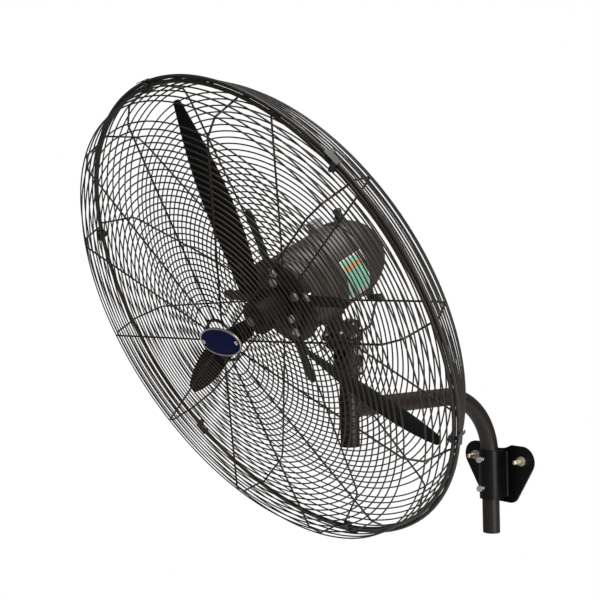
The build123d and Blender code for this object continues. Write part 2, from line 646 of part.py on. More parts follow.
def terminal_box():
    floor_z = 0.0
    top = BOX_TOP - BOX_LID
    half = BOX_HALF_WIDTH
    box = block((-half, half), BOX_Y, (floor_z, top))
    box = fillet(box.edges().filter_by(Axis.Z), 3)
    box -= rod_y(MOTOR_RADIUS + SEAT, BOX_Y[0] - 1, BOX_Y[1] + 1)
    inside = (BOX_Y[0] + BOX_WALL, BOX_Y[1] - BOX_WALL)
    pocket = block((-half + BOX_WALL, half - BOX_WALL), inside, (MOTOR_RADIUS + SEAT + 2, top + 1))
    box -= pocket
    gland_z = gland_level()
    box -= rod_x(GLAND_RADIUS - 4 + RUNNING, -half - 1, -half + BOX_WALL + 1, sum(BOX_Y) / 2, gland_z)
    for x, y in lid_screw_places():
        box += rod_z(3, MOTOR_RADIUS + 2, top, x, y)
        box -= rod_z(1.5 + RUNNING, top - 6, top + 1, x, y)
    return box


def gland_level():
    return BOX_TOP - BOX_LID - GLAND_RADIUS - 1


def lid_screw_places():
    inset = 6.5
    across = BOX_HALF_WIDTH - inset
    along = (BOX_Y[0] + inset, BOX_Y[1] - inset)
    return [(x, y) for x in (-across, across) for y in along]


def terminal_lid():
    half = BOX_HALF_WIDTH + 1
    lid = block((-half, half), (BOX_Y[0] - 1, BOX_Y[1] + 1), (BOX_TOP - BOX_LID, BOX_TOP))
    lid = fillet(lid.edges().filter_by(Axis.Z), 4)
    lid = chamfer(lid.faces().sort_by(Axis.Z)[-1].edges(), 1.2)
    for x, y in lid_screw_places():
        lid -= rod_z(1.5 + RUNNING, BOX_TOP - BOX_LID - 1, BOX_TOP + 1, x, y)
    return lid


def lid_screws():
    for x, y in lid_screw_places():
        shank = rod_z(1.5, BOX_TOP - BOX_LID - 5, BOX_TOP, x, y)
        head = rod_z(3, BOX_TOP, BOX_TOP + 1.6, x, y)
        yield shank + head


def cable_gland():
    """Gland on the box's left side; its bore is empty."""
    y = sum(BOX_Y) / 2
    z = gland_level()
    wall = -BOX_HALF_WIDTH
    hexagon = Pos(wall, y, z) * Rot(0, -90, 0) * hex_bar(2 * GLAND_RADIUS - 2, 5)
    cap = rod_x(GLAND_RADIUS - 2, wall - 14, wall - 5, y, z)
    neck = rod_x(GLAND_RADIUS - 4, wall - 5, wall + BOX_WALL, y, z)
    return hexagon + cap + neck - rod_x(3, wall - 15, wall - 3, y, z)


def oscillation_knob():
    stem = rod_z(KNOB_STEM_RADIUS, WORM_WHEEL_RADIUS + 14, KNOB_FOOT + 1, CRANK_X, CRANK_Y)
    grip = rod_z(KNOB_RADIUS, KNOB_FOOT, KNOB_FOOT + KNOB_HEIGHT, CRANK_X, CRANK_Y)
    grip = chamfer(grip.edges().sort_by(Axis.Z)[-1], 1.5)
    waist = rod_z(KNOB_RADIUS + 3, KNOB_FOOT + 3, KNOB_FOOT + 8, CRANK_X, CRANK_Y)
    waist -= rod_z(KNOB_RADIUS - 1, KNOB_FOOT, KNOB_FOOT + 12, CRANK_X, CRANK_Y)
    return stem + grip - waist


# ------------------------------------------------------------------ wire guard
def wire_ring(radius, y, wire):
    return revolve(Pos(radius, y) * Rectangle(wire, wire), Axis.Y)


def ring_beside(start, end, share, facing):
    """(radius, y) of a ring welded on the outer side of the rib's run from start to end."""
    run_r = end[0] - start[0]
    run_y = end[1] - start[1]
    reach = facing * (RIB_WIRE / 2 + RING_WIRE / 2 - WELD_SINK) / hypot(run_r, run_y)
    return (start[0] + share * run_r - reach * run_y, start[1] + share * run_y + reach * run_r)


def ring_at_bend(before, bend, after, facing):
    """(radius, y) of a ring welded outside the rounded bend of a rib."""
    arrive = Vector(bend[0] - before[0], bend[1] - before[1]).normalized()
    leave = Vector(after[0] - bend[0], after[1] - bend[1]).normalized()
    along = (arrive + leave).normalized()
    rounding = RIB_BEND / along.dot(arrive) - RIB_BEND
    reach = facing * (RIB_WIRE / 2 + RING_WIRE / 2 - WELD_SINK - rounding)
    return (bend[0] - reach * along.Y, bend[1] + reach * along.X)


def ring_on_face(path, radius, facing):
    for start, end in zip(path, path[1:]):
        if start[0] <= radius <= end[0]:
            return ring_beside(start, end, (radius - start[0]) / (end[0] - start[0]), facing)
    raise ValueError("no rib run at this radius")


def near_rim(place):
    """(radius, y) from an inset and y."""
    return (RIM_RADIUS - place[0], place[1])


def rim_ring_place(facing):
    return (RIM_RADIUS - (RIM_NEST if facing < 0 else 0), facing * RIM_STEP / 2)


def rib_end(facing):
    """Where a rib ends in the edge of its rim ring."""
    radius, y = rim_ring_place(facing)
    sunk = RIM_WIRE / 2 - WELD_SINK
    return (radius - sunk, y + facing * sunk)


def rib(path):
    line = FilletPolyline(*path, radius=[RIB_BEND] * (len(path) - 2))
    return extrude(trace(line, RIB_WIRE), RIB_WIRE / 2, both=True)


def around_guard(shape):
    return [Rot(0, 360 * i / RIB_COUNT, 0) * shape for i in range(RIB_COUNT)]


def within_face():
    return rod_y(RIM_RADIUS - FACE_INSET, -2 * REAR_KNEE[1], 2 * REAR_KNEE[1])


def guard_face(path, facing):
    """The ribs' inner runs and the flat rings across them; facing is -1 in front, +1 behind."""
    wires = around_guard(rib(path) & within_face())
    for number in range(RING_COUNT):
        radius = RING_FIRST + RING_PITCH * number
        if radius > path[0][0]:
            wires.append(wire_ring(*ring_on_face(path, radius, facing), RING_WIRE))
    return wires


def guard_wall(path, facing, levels):
    """The ribs' outer runs, the rings round the side wall and the heavy rim ring."""
    wires = around_guard(rib(path) - within_face())
    wires.append(wire_ring(*ring_at_bend(*path[-3:], facing), RING_WIRE))
    top, foot = path[-2:]
    for level in levels:
        wires.append(wire_ring(*ring_beside(top, foot, (level - top[1]) / (foot[1] - top[1]), facing), RING_WIRE))
    wires.append(wire_ring(*rim_ring_place(facing), RIM_WIRE))
    return fuse_all(wires)


def front_path():
    return [(FRONT_CENTRE_RING, FRONT_FLAT_Y), near_rim(FRONT_EDGE), near_rim(FRONT_SHOULDER), rib_end(-1)]


def rear_path():
    return [(MOUNT_RING_OUTER - 1, MOTOR_FRONT_Y - 2), REAR_KNEE, near_rim(REAR_EDGE), near_rim(REAR_SHOULDER),
            rib_end(1)]


def front_guard():
    """Flat face of the front half, with its heavy centre ring and the badge's backing plate."""
    centre_ring = wire_ring(FRONT_CENTRE_RING, FRONT_FLAT_Y, RIB_WIRE + 2)
    return fuse_all(guard_face(front_path(), -1) + [centre_ring, badge_backing()])


def front_guard_wall():
    return guard_wall(front_path(), -1, FRONT_WALL_RINGS)


def rear_guard_wall():
    return guard_wall(rear_path(), 1, REAR_WALL_RINGS)


def backing_front():
    return FRONT_FLAT_Y - RIB_WIRE / 2 - 1.0 - 1.5


def badge_backing():
    plate = Rot(90, 0, 0) * extrude(Ellipse(BADGE_HALF_WIDTH - 4, BADGE_HALF_HEIGHT - 4), 1.5)
    plate = Pos(0, backing_front() + 1.5, 0) * plate
    pad = rod_y(FRONT_CENTRE_RING - 12, backing_front() + 1.0, FRONT_FLAT_Y)
    front = backing_front()
    holes = [rod_y(2 + RUNNING, front - 1, front + 3, x=side * BADGE_RIVET_X) for side in (-1, 1)]
    spoke = block((-FRONT_CENTRE_RING, FRONT_CENTRE_RING), (FRONT_FLAT_Y - 1.5, FRONT_FLAT_Y),
                  (-BADGE_SPOKE / 2, BADGE_SPOKE / 2))
    return fuse_all([plate, pad, spoke]) - holes


def rear_guard():
    """Dished face of the rear half: its ribs end on the ring that is screwed to the motor's front."""
    front = CROSS_FRONT_Y + CROSS_THICK
    through = (front - 1, MOTOR_FRONT_Y + 1)
    mount_ring = rod_y(MOUNT_RING_OUTER, front, MOTOR_FRONT_Y) - rod_y(SPIGOT_RADIUS + 0.1, *through)
    for angle in range(4):
        mount_ring -= Rot(0, 90 * angle, 0) * rod_y(M6_RADIUS + RUNNING, *through, x=GUARD_SCREW_RADII[1])
    return fuse_all(guard_face(rear_path(), 1) + [mount_ring])


def fuse_all(solids):
    first, *others = solids
    return first.fuse(*others)


def guard_cross():
    """Flat cross inside the rear guard, screwed to the motor with the guard's ring."""
    arm = SlotOverall(CROSS_SPAN, CROSS_WIDTH)
    outline = arm + Rot(0, 0, 90) * arm + Circle(CROSS_HUB_RADIUS) - Circle(CROSS_HOLE_RADIUS)
    for radius in GUARD_SCREW_RADII:
        outline -= [Rot(0, 0, 90 * i) * Pos(radius, 0) * Circle(M6_RADIUS + RUNNING) for i in range(4)]
    return Pos(0, CROSS_FRONT_Y + CROSS_THICK, 0) * Rot(90, 0, 0) * extrude(outline, CROSS_THICK)


def guard_screws():
    for radius in GUARD_SCREW_RADII:
        for angle in range(4):
            head = Pos(radius, CROSS_FRONT_Y - 4, 0) * TO_Y * hex_bar(M6_FLATS, 4)
            screw = head + rod_y(M6_RADIUS, CROSS_FRONT_Y - 4, guard_screw_tip(radius), x=radius)
            yield Rot(0, 90 * angle, 0) * screw


def around_rim(shape):
    """Copies of a piece modelled on +X, set at each clip's angle from the top."""
    for i in range(CLIP_COUNT):
        yield Rot(0, CLIP_ANGLE + 360 * i / CLIP_COUNT - 90, 0) * shape


def rim_clip():
    """Channel that holds both rim rings, with a tab to the rear."""
    side = CLIP_SIDE + CLIP_THICK
    half = CLIP_WIDTH / 2
    strap = block((CLIP_SEAT, CLIP_SEAT + CLIP_THICK), (-side, side), (-half, half))
    tab_half = CLIP_TAB / 2
    strap += block((CLIP_SEAT, CLIP_SEAT + CLIP_THICK), (side, side + CLIP_TAB), (-tab_half, tab_half))
    lip_half = CLIP_BLOCK / 2
    across_rim = (CLIP_BLOCK_SEAT - CLIP_BLOCK, CLIP_SEAT + CLIP_THICK)
    for low in (-side, CLIP_SIDE):
        strap += block(across_rim, (low, low + CLIP_THICK), (-lip_half, lip_half))
    return strap - rod_y(CLIP_SCREW_RADIUS + RUNNING, -side - 1, side + 1, x=CLIP_SCREW_R)


def clip_block():
    half = CLIP_BLOCK / 2
    body = block((CLIP_BLOCK_SEAT - CLIP_BLOCK, CLIP_BLOCK_SEAT), (-CLIP_SIDE, CLIP_SIDE), (-half, half))
    return body - rod_y(CLIP_SCREW_RADIUS + RUNNING, -CLIP_SIDE - 1, CLIP_SIDE + 1, x=CLIP_SCREW_R)


def clip_screw():
    side = CLIP_SIDE + CLIP_THICK
    head = rod_y(CLIP_SCREW_RADIUS * 2, -side - 2.5, -side, x=CLIP_SCREW_R)
    return head + rod_y(CLIP_SCREW_RADIUS, -side - 1, side + 5, x=CLIP_SCREW_R)


def clip_nut():
    side = CLIP_SIDE + CLIP_THICK
    nut = Pos(CLIP_SCREW_R, side, 0) * TO_Y * hex_bar(7, 3.2)
    return nut - rod_y(CLIP_SCREW_RADIUS + RUNNING, side - 1, side + 6, x=CLIP_SCREW_R)


def badge():
    """Blank oval plate with a raised edge."""
    oval = Ellipse(BADGE_HALF_WIDTH, BADGE_HALF_HEIGHT)
    recess = Ellipse(BADGE_HALF_WIDTH - BADGE_EDGE, BADGE_HALF_HEIGHT - BADGE_EDGE)
    plate = extrude(oval, BADGE_THICK) - Pos(0, 0, BADGE_THICK - 0.8) * extrude(recess, 1)
    plate -= [Pos(side * BADGE_RIVET_X, 0, -1) * Cylinder(2 + RUNNING, 9, align=UPWARD) for side in (-1, 1)]
    return Pos(0, backing_front(), 0) * Rot(90, 0, 0) * plate


def badge_rivets():
    face = backing_front() - BADGE_THICK + 0.8
    for side in (-1, 1):
        shank = rod_y(2, face - 0.5, backing_front() + 1.5, x=side * BADGE_RIVET_X)
        yield shank + rod_y(3.5, face - 1.2, face, x=side * BADGE_RIVET_X)


# ------------------------------------------------------------------ rotor
def blade_middle(radius):
    """Sideways offset of the blade's middle line, which curves with the turn."""
    return BLADE_SWEEP * (1 - exp(-(radius - BLADE_ROOT) / BLADE_SWEEP_LENGTH))


def blade_pitch(radius):
    return BLADE_ROOT_PITCH - BLADE_UNTWIST * (radius - BLADE_ROOT)


def blade_plane(radius):
    pitch = radians(blade_pitch(radius))
    return Plane((blade_middle(radius), BLADE_Y, radius), x_dir=(cos(pitch), sin(pitch), 0), z_dir=(0, 0, 1))


def twisted_sheet(start, end, thick, shift):
    """Cambered sheet that follows the blade's pitch, moved to the rear by shift."""
    stations = 7
    half = 40.0
    faces = []
    for i in range(stations):
        radius = start + (end - start) * i / (stations - 1)
        low = shift - thick / 2
        high = shift + thick / 2
        edges = [ThreePointArc((-half, low), (0, low + BLADE_BULGE), (half, low)),
                 Line((half, low), (half, high)),
                 ThreePointArc((half, high), (0, high + BLADE_BULGE), (-half, high)),
                 Line((-half, high), (-half, low))]
        faces.append(blade_plane(radius) * make_face(Curve() + edges))
    return loft(faces)


def seen_from_front(outline):
    """A cutter as deep as the rotor, from an outline with x to the right and y up."""
    return Rot(90, 0, 0) * extrude(outline, 150, both=True)


def blade_outline():
    stations = [(BLADE_ROOT + BLADE_STRETCH * distance, width) for distance, width in BLADE_WIDTHS]
    left = [(blade_middle(r) - w / 2, r) for r, w in stations]
    right = [(blade_middle(r) + w / 2, r) for r, w in stations]
    edges = [Spline(*left), Line(left[-1], right[-1]), Spline(*reversed(right)), Line(right[0], left[0])]
    face = make_face(Curve() + edges)
    tips = face.vertices().sort_by(Axis.Y)[-2:]
    return fillet(tips, BLADE_TIP_FILLET)


def blade():
    sheet = twisted_sheet(BLADE_ROOT - 2, BLADE_TIP + 2, BLADE_THICK, 0.0)
    solid = sheet & seen_from_front(blade_outline())
    for radius in BLADE_RIVET_RADII:
        solid -= on_blade(radius) * Cylinder(BLADE_RIVET_RADIUS + RUNNING, 30)
    return solid


def on_blade(radius):
    """Location in the middle of the sheet, on the blade's middle line, z square to it to the rear."""
    plane = blade_plane(radius)
    middle = plane.from_local_coords((0, BLADE_BULGE, 0))
    slope = BLADE_SWEEP / BLADE_SWEEP_LENGTH * exp(-(radius - BLADE_ROOT) / BLADE_SWEEP_LENGTH)
    square = plane.y_dir + Vector(0, 0, slope * plane.x_dir.Y)
    return Location(Plane(middle, x_dir=plane.x_dir, z_dir=square))


def hub():
    """Boss on the shaft with three riveting arms behind the blades."""
    boss = rod_y(HUB_RADIUS, *HUB_Y)
    boss = chamfer(boss.edges().filter_by(GeomType.CIRCLE), 2)
    arm_shift = BLADE_THICK / 2 + LOOSE + HUB_ARM_THICK / 2
    sheet = twisted_sheet(HUB_RADIUS / 2, HUB_ARM_TIP + 5, HUB_ARM_THICK, arm_shift)
    length = HUB_ARM_TIP - HUB_RADIUS / 2 - 2
    place = Pos(blade_middle(HUB_ARM_TIP) / 2, HUB_ARM_TIP - length / 2)
    outline = place * SlotOverall(length, HUB_ARM_WIDTH, rotation=84)
    arm = sheet & seen_from_front(outline)
    for radius in BLADE_RIVET_RADII:
        arm -= on_blade(radius) * Cylinder(BLADE_RIVET_RADIUS + RUNNING, 60)
    solid = boss + list(around_rotor(arm))
    return solid - rod_y(SHAFT_RADIUS + RUNNING, 0, 100)


def around_rotor(shape):
    for i in range(BLADE_COUNT):
        yield Rot(0, BLADE_ANGLE + 360 * i / BLADE_COUNT, 0) * shape


def blade_rivet(radius):
    front = -BLADE_THICK / 2 - LOOSE
    rear = BLADE_THICK / 2 + LOOSE + HUB_ARM_THICK + LOOSE
    shank = Pos(0, 0, front) * Cylinder(BLADE_RIVET_RADIUS, rear - front, align=UPWARD)
    cap = Cylinder(BLADE_RIVET_RADIUS * 1.8, 1.8, align=UPWARD)
    return on_blade(radius) * (shank + Pos(0, 0, front - 1.8) * cap + Pos(0, 0, rear) * cap)


def motor_shaft():
    front = HUB_Y[0] - M8_NUT - 3
    shaft = rod_y(SHAFT_RADIUS, front, COVER_SEAM_Y + 2)
    neck = rod_y(WORM_RADIUS - 1.5, COVER_SEAM_Y, CRANK_Y + 14)
    return shaft + neck + rod_y(WORM_RADIUS, CRANK_Y - 9, CRANK_Y + 9)


def hub_nut():
    start = HUB_Y[0] - M8_NUT
    nut = Pos(0, start, 0) * TO_Y * hex_bar(24, M8_NUT)
    return nut - rod_y(SHAFT_RADIUS + RUNNING, start - 1, start + 10)


def rotor_core():
    core = rod_y(ROTOR_RADIUS, CORE_FRONT_Y, CORE_REAR_Y)
    return core - rod_y(SHAFT_RADIUS + RUNNING, CORE_FRONT_Y - 1, CORE_REAR_Y + 1)


# ------------------------------------------------------------------ build
def main():
    os.makedirs("parts", exist_ok=True)
    save("wall_plate", wall_plate())
    save("u_clamp", u_clamp())
    save("clamp_set_screws", group(clamp_set_screws()))
    save("anchor_studs", group(anchor_studs()))
    save("anchor_sleeves", group(anchor_sleeves()))
    save("anchor_washers", group(anchor_washers()))
    save("anchor_nuts", group(anchor_nuts()))

    save("arm_tube", arm_tube())
    save("neck_tube", neck_tube())
    save("neck_fork", neck_fork())
    save("fork_set_screw", fork_set_screw())
    save("tilt_bolt", tilt_bolt())
    save("tilt_nut", tilt_nut())
    save("tilt_washers", group(tilt_washers()))

    save_head("swivel_base", swivel_base())
    save_head("pivot_pin", pivot_pin())
    save_head("link_anchor_screw", link_anchor_screw())
    save_head("motor_pedestal", motor_pedestal())
    save_head("crank", crank())
    save_head("crank_clip", crank_clip())
    save_head("worm_wheel", worm_wheel())
    save_head("link_rod", link_rod())

    save_head("front_endshield", front_endshield())
    save_head("motor_shell", motor_shell())
    save_head("rear_endshield", rear_endshield())
    save_head("rear_cover", rear_cover())
    save_head("stator", stator())
    save_head("windings", group(windings()))
    save_head("bearings", group(bearings()))
    save_head("tie_bolts", group(tie_bolts()))
    save_head("rating_plate", rating_plate())
    save_head("terminal_box", terminal_box())
    save_head("terminal_lid", terminal_lid())
    save_head("lid_screws", group(lid_screws()))
    save_head("cable_gland", cable_gland())
    save_head("oscillation_knob", oscillation_knob())

    save_head("front_guard", front_guard())
    save_head("front_guard_wall", front_guard_wall())
    save_head("rear_guard", rear_guard())
    save_head("rear_guard_wall", rear_guard_wall())
    save_head("guard_cross", guard_cross())
    save_head("guard_screws", group(guard_screws()))
    save_head("rim_clips", group(around_rim(rim_clip())))
    save_head("clip_blocks", group(around_rim(clip_block())))
    save_head("clip_screws", group(around_rim(clip_screw())))
    save_head("clip_nuts", group(around_rim(clip_nut())))
    save_head("badge", badge())
    save_head("badge_rivets", group(badge_rivets()))

    save_head("motor_shaft", motor_shaft())
    save_head("rotor_core", rotor_core())
    save_head("hub", hub())
    save_head("hub_nut", hub_nut())
    for number, solid in enumerate(around_rotor(blade()), start=1):
        save_head(f"blade_{number}", solid)
    rivets = [blade_rivet(radius) for radius in BLADE_RIVET_RADII]
    save_head("blade_rivets", group(copy for rivet in rivets for copy in around_rotor(rivet)))


main()
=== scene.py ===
"""Looks of a wall mounted fan: wire guard, painted motor and arm, zinc fixings and a blank oval badge.

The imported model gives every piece's place.  Metres, +Z up, wall at y = 0, the fan blows towards -Y.
"""

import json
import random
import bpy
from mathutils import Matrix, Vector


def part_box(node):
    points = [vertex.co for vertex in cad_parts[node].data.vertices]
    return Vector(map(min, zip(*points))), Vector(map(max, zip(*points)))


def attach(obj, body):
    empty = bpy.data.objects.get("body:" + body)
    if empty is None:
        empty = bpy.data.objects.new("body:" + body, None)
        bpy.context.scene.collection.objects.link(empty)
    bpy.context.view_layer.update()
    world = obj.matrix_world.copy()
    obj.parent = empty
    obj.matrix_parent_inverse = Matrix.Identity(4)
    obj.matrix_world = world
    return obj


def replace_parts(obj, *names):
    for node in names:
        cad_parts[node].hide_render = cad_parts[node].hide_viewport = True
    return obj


bl_info = {
    "name": "Wall Mounted Fan",
    "version": (1, 0, 0),
    "blender": (4, 5, 0),
    "location": "3D View > Sidebar > Wall Fan",
    "description": "Builds the visible pieces and finishes of a wall mounted fan",
    "category": "Object",
}

from math import acos, atan2, cos, pi, radians, sin, tan

import bmesh
import bpy
from bpy.props import FloatProperty, FloatVectorProperty, IntProperty, PointerProperty
from mathutils import Matrix, Vector

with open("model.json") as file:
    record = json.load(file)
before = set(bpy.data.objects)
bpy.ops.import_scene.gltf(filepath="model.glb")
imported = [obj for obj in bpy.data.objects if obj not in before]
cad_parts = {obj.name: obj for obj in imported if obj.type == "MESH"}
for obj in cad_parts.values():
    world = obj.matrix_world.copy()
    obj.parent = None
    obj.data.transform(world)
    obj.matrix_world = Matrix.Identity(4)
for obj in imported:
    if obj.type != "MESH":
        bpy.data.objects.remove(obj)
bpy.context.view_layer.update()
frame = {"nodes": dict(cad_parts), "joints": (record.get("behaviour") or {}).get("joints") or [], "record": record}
NODES = frame["nodes"]
MM = 0.001


def joint(name):
    return next(row for row in frame["joints"] if row["name"] == name)


# The head's own frame: x right, y to the rear along the fan axis, z up, origin in the guard's rim.
FAN_FORWARD = Vector(joint("rotor_spin")["axis"])
RIM_CENTRE = Vector(joint("rotor_spin")["pos_m"])
HEAD_UP = Vector(joint("oscillation")["axis"])
HEAD = Matrix((
    (1, -FAN_FORWARD.x, HEAD_UP.x, RIM_CENTRE.x),
    (0, -FAN_FORWARD.y, HEAD_UP.y, RIM_CENTRE.y),
    (0, -FAN_FORWARD.z, HEAD_UP.z, RIM_CENTRE.z),
    (0, 0, 0, 1),
))
NECK_AXIS = Vector(joint("head_tilt")["pos_m"])
# They turn a form's +Z along the fan axis, to the rear or to the front.
TO_REAR = Matrix.Rotation(-pi / 2, 4, "X")
TO_FRONT = Matrix.Rotation(pi / 2, 4, "X")


# ------------------------------------------------------------------ sizes and colours a user may change
class WallFanGuard(bpy.types.PropertyGroup):
    rim_radius: FloatProperty(name="Rim radius", description="Middle of the rear half's heavy rim wire",
                              default=0.3839, unit="LENGTH")
    rim_nest: FloatProperty(name="Rim nest", description="How far the front rim wire lies inside the rear one",
                            default=0.006, unit="LENGTH")
    rim_step: FloatProperty(name="Rim step", description="Distance of the two rim wires along the fan axis",
                            default=0.002, unit="LENGTH")
    rim_wire: FloatProperty(name="Rim wire", description="Diameter of the rim wires", default=0.0057, unit="LENGTH")
    rib_wire: FloatProperty(name="Rib wire", description="Diameter of the ribs", default=0.003, unit="LENGTH")
    ring_wire: FloatProperty(name="Ring wire", description="Diameter of the rings", default=0.0022, unit="LENGTH")
    ring_first: FloatProperty(name="First ring", description="Radius of the innermost flat ring", default=0.0585,
                              unit="LENGTH")
    ring_inset: FloatProperty(name="Last ring", description="From the outermost flat ring to the rim",
                              default=0.0428, unit="LENGTH")
    ring_count: IntProperty(name="Flat rings", description="Rings on the flat face", default=30, min=2)
    rib_count: IntProperty(name="Ribs", description="Ribs of each half", default=12, min=3)


class WallFanFinish(bpy.types.PropertyGroup):
    wire: FloatVectorProperty(name="Wire", description="Coated wire of the guard", subtype="COLOR",
                              default=(0.0125, 0.0088, 0.0066))
    motor: FloatVectorProperty(name="Motor", description="Enamel on the motor", subtype="COLOR",
                               default=(0.064, 0.054, 0.047))
    tube: FloatVectorProperty(name="Tube", description="Paint on the tube arm", subtype="COLOR",
                              default=(0.0150, 0.0102, 0.0080))
    bracket: FloatVectorProperty(name="Bracket", description="Paint on the wall bracket", subtype="COLOR",
                                 default=(0.0022, 0.0022, 0.0022))
    blade: FloatVectorProperty(name="Blade", description="Paint on the blades", subtype="COLOR",
                               default=(0.0022, 0.0019, 0.0018))
    badge: FloatVectorProperty(name="Badge", description="Face of the badge", subtype="COLOR",
                               default=(0.0015, 0.0075, 0.070))
    label: FloatVectorProperty(name="Label", description="Ground of the rating label", subtype="COLOR",
                               default=(0.44, 0.86, 0.66))
    band: FloatVectorProperty(name="Label band", description="Band across the rating label", subtype="COLOR",
                              default=(0.92, 0.50, 0.24))


class WallFanStage(bpy.types.PropertyGroup):
    key_power: FloatProperty(name="Key light", description="Power of the large soft light", default=50.0, unit="POWER")
    top_power: FloatProperty(name="Top light", description="Power of the light above", default=56.0, unit="POWER")
    side_power: FloatProperty(name="Side light", description="Power of the light at the right", default=32.0,
                              unit="POWER")
    sky: FloatProperty(name="Sky", description="Grey level of the surrounding light", default=0.15, min=0, max=1)
    floor_drop: FloatProperty(name="Floor", description="Height of the floor", default=-0.85, unit="LENGTH")


# ------------------------------------------------------------------ mesh tools
def add_object(name, bm, body, slot, materials=None, smooth=True):
    """A mesh object from bm that rides on a body; it takes its slot's finish unless it has materials of its own."""
    mesh = bpy.data.meshes.new(name)
    bm.to_mesh(mesh)
    bm.free()
    for material in materials or [bpy.data.materials[slot]]:
        mesh.materials.append(material)
    for polygon in mesh.polygons:
        polygon.use_smooth = smooth
    piece = bpy.data.objects.new(name, mesh)
    bpy.context.scene.collection.objects.link(piece)
    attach(piece, body)
    return piece


def angles(count):
    """Even angles of a whole turn."""
    return [2 * pi * k / count for k in range(count)]


def tube_through(bm, points, radius, sides=8, closed=False, swell=None):
    """Skins a round wire along points; swell(i) scales the radius at point i."""
    count = len(points)
    loops = []
    normal = None
    for i, point in enumerate(points):
        before = points[i - 1] if closed or i else points[i]
        after = points[(i + 1) % count] if closed or i < count - 1 else points[i]
        tangent = (after - before).normalized()
        if normal is None:
            normal = tangent.orthogonal().normalized()
        normal = (normal - tangent * normal.dot(tangent)).normalized()
        other = tangent.cross(normal)
        size = radius * (swell(i) if swell else 1.0)
        loops.append([bm.verts.new(point + size * (cos(a) * normal + sin(a) * other)) for a in angles(sides)])
    join_loops(bm, loops, closed)
    if not closed:
        bm.faces.new(list(reversed(loops[0])))
        bm.faces.new(loops[-1])


def join_loops(bm, loops, closed=False, material=0):
    sides = len(loops[0])
    pairs = list(zip(loops, loops[1:]))
    if closed:
        pairs.append((loops[-1], best_turn(loops[0], loops[-1])))
    for low, high in pairs:
        for k in range(sides):
            face = bm.faces.new((low[k], low[(k + 1) % sides], high[(k + 1) % sides], high[k]))
            face.material_index = material


def best_turn(loop, target):
    """The loop started at the vertex that lies nearest to the target's first."""
    start = min(range(len(loop)), key=lambda k: (loop[k].co - target[0].co).length)
    return loop[start:] + loop[:start]


def wire_ring(bm, radius, y, wire_radius, segments=128, sides=8):
    """A round ring about the fan axis."""
    loops = []
    for angle in angles(segments):
        out = Vector((cos(angle), 0, sin(angle)))
        centre = out * radius + Vector((0, y, 0))
        loops.append([bm.verts.new(centre + wire_radius * (cos(a) * out + sin(a) * Vector((0, 1, 0))))
                      for a in angles(sides)])
    join_loops(bm, loops + [loops[0]])


def solid_between(bm, loops):
    """Joins a row of outlines and closes it at both ends."""
    bm.faces.new(loops[0])
    bm.faces.new(list(reversed(loops[-1])))
    join_loops(bm, loops)


def strip(bm, outline, y, thick):
    """Flat sheet across the fan axis, from y to y + thick, with a closed (x, z) outline."""
    solid_between(bm, [[bm.verts.new((x, depth, z)) for x, z in outline] for depth in (y, y + thick)])


def lathe(profile, segments):
    """Turns (radius, height) pairs about Z; a radius of 0 at either end closes the form."""
    bm = bmesh.new()
    loops = []
    for radius, height in profile:
        if radius > 0:
            loops.append([bm.verts.new((radius * cos(a), radius * sin(a), height)) for a in angles(segments)])
        else:
            loops.append([bm.verts.new((0, 0, height))])
    for low, high in zip(loops, loops[1:]):
        for k in range(segments):
            quad = [low[k % len(low)], low[(k + 1) % len(low)], high[(k + 1) % len(high)], high[k % len(high)]]
            bm.faces.new(list(dict.fromkeys(quad)))
    return bm


def closed_ring(profile, segments):
    """A turned ring; its profile goes on from the last point to the first."""
    bm = lathe(profile + profile[:1], segments)
    bmesh.ops.remove_doubles(bm, verts=bm.verts, dist=1e-6)
    return bm


def merge(target, source, place=Matrix()):
    """Adds the source mesh to the target at a place, and frees it."""
    source.transform(place)
    mesh = bpy.data.meshes.new("joining")
    source.to_mesh(mesh)
    source.free()
    target.from_mesh(mesh)
    bpy.data.meshes.remove(mesh)


def settle(bm, place):
    """Turns all faces outward and moves the form to its place."""
    bmesh.ops.recalc_face_normals(bm, faces=bm.faces)
    bm.transform(place)


def rounded_path(corners, radius, steps=6):
    """(r, y) points along straight runs whose corners are arcs of the given radius."""
    path = [Vector(corners[0])]
    for before, corner, after in zip(corners, corners[1:], corners[2:]):
        corner = Vector(corner)
        toward_before = (Vector(before) - corner).normalized()
        toward_after = (Vector(after) - corner).normalized()
        half = acos(max(-1.0, min(1.0, toward_before.dot(toward_after)))) / 2
        reach = radius / tan(half)
        centre = corner + (toward_before + toward_after).normalized() * radius / sin(half)
        start = corner + toward_before * reach - centre
        end = corner + toward_after * reach - centre
        for step in range(steps + 1):
            share = step / steps
            path.append(centre + (start * (1 - share) + end * share).normalized() * radius)
    path.append(Vector(corners[-1]))
    return path


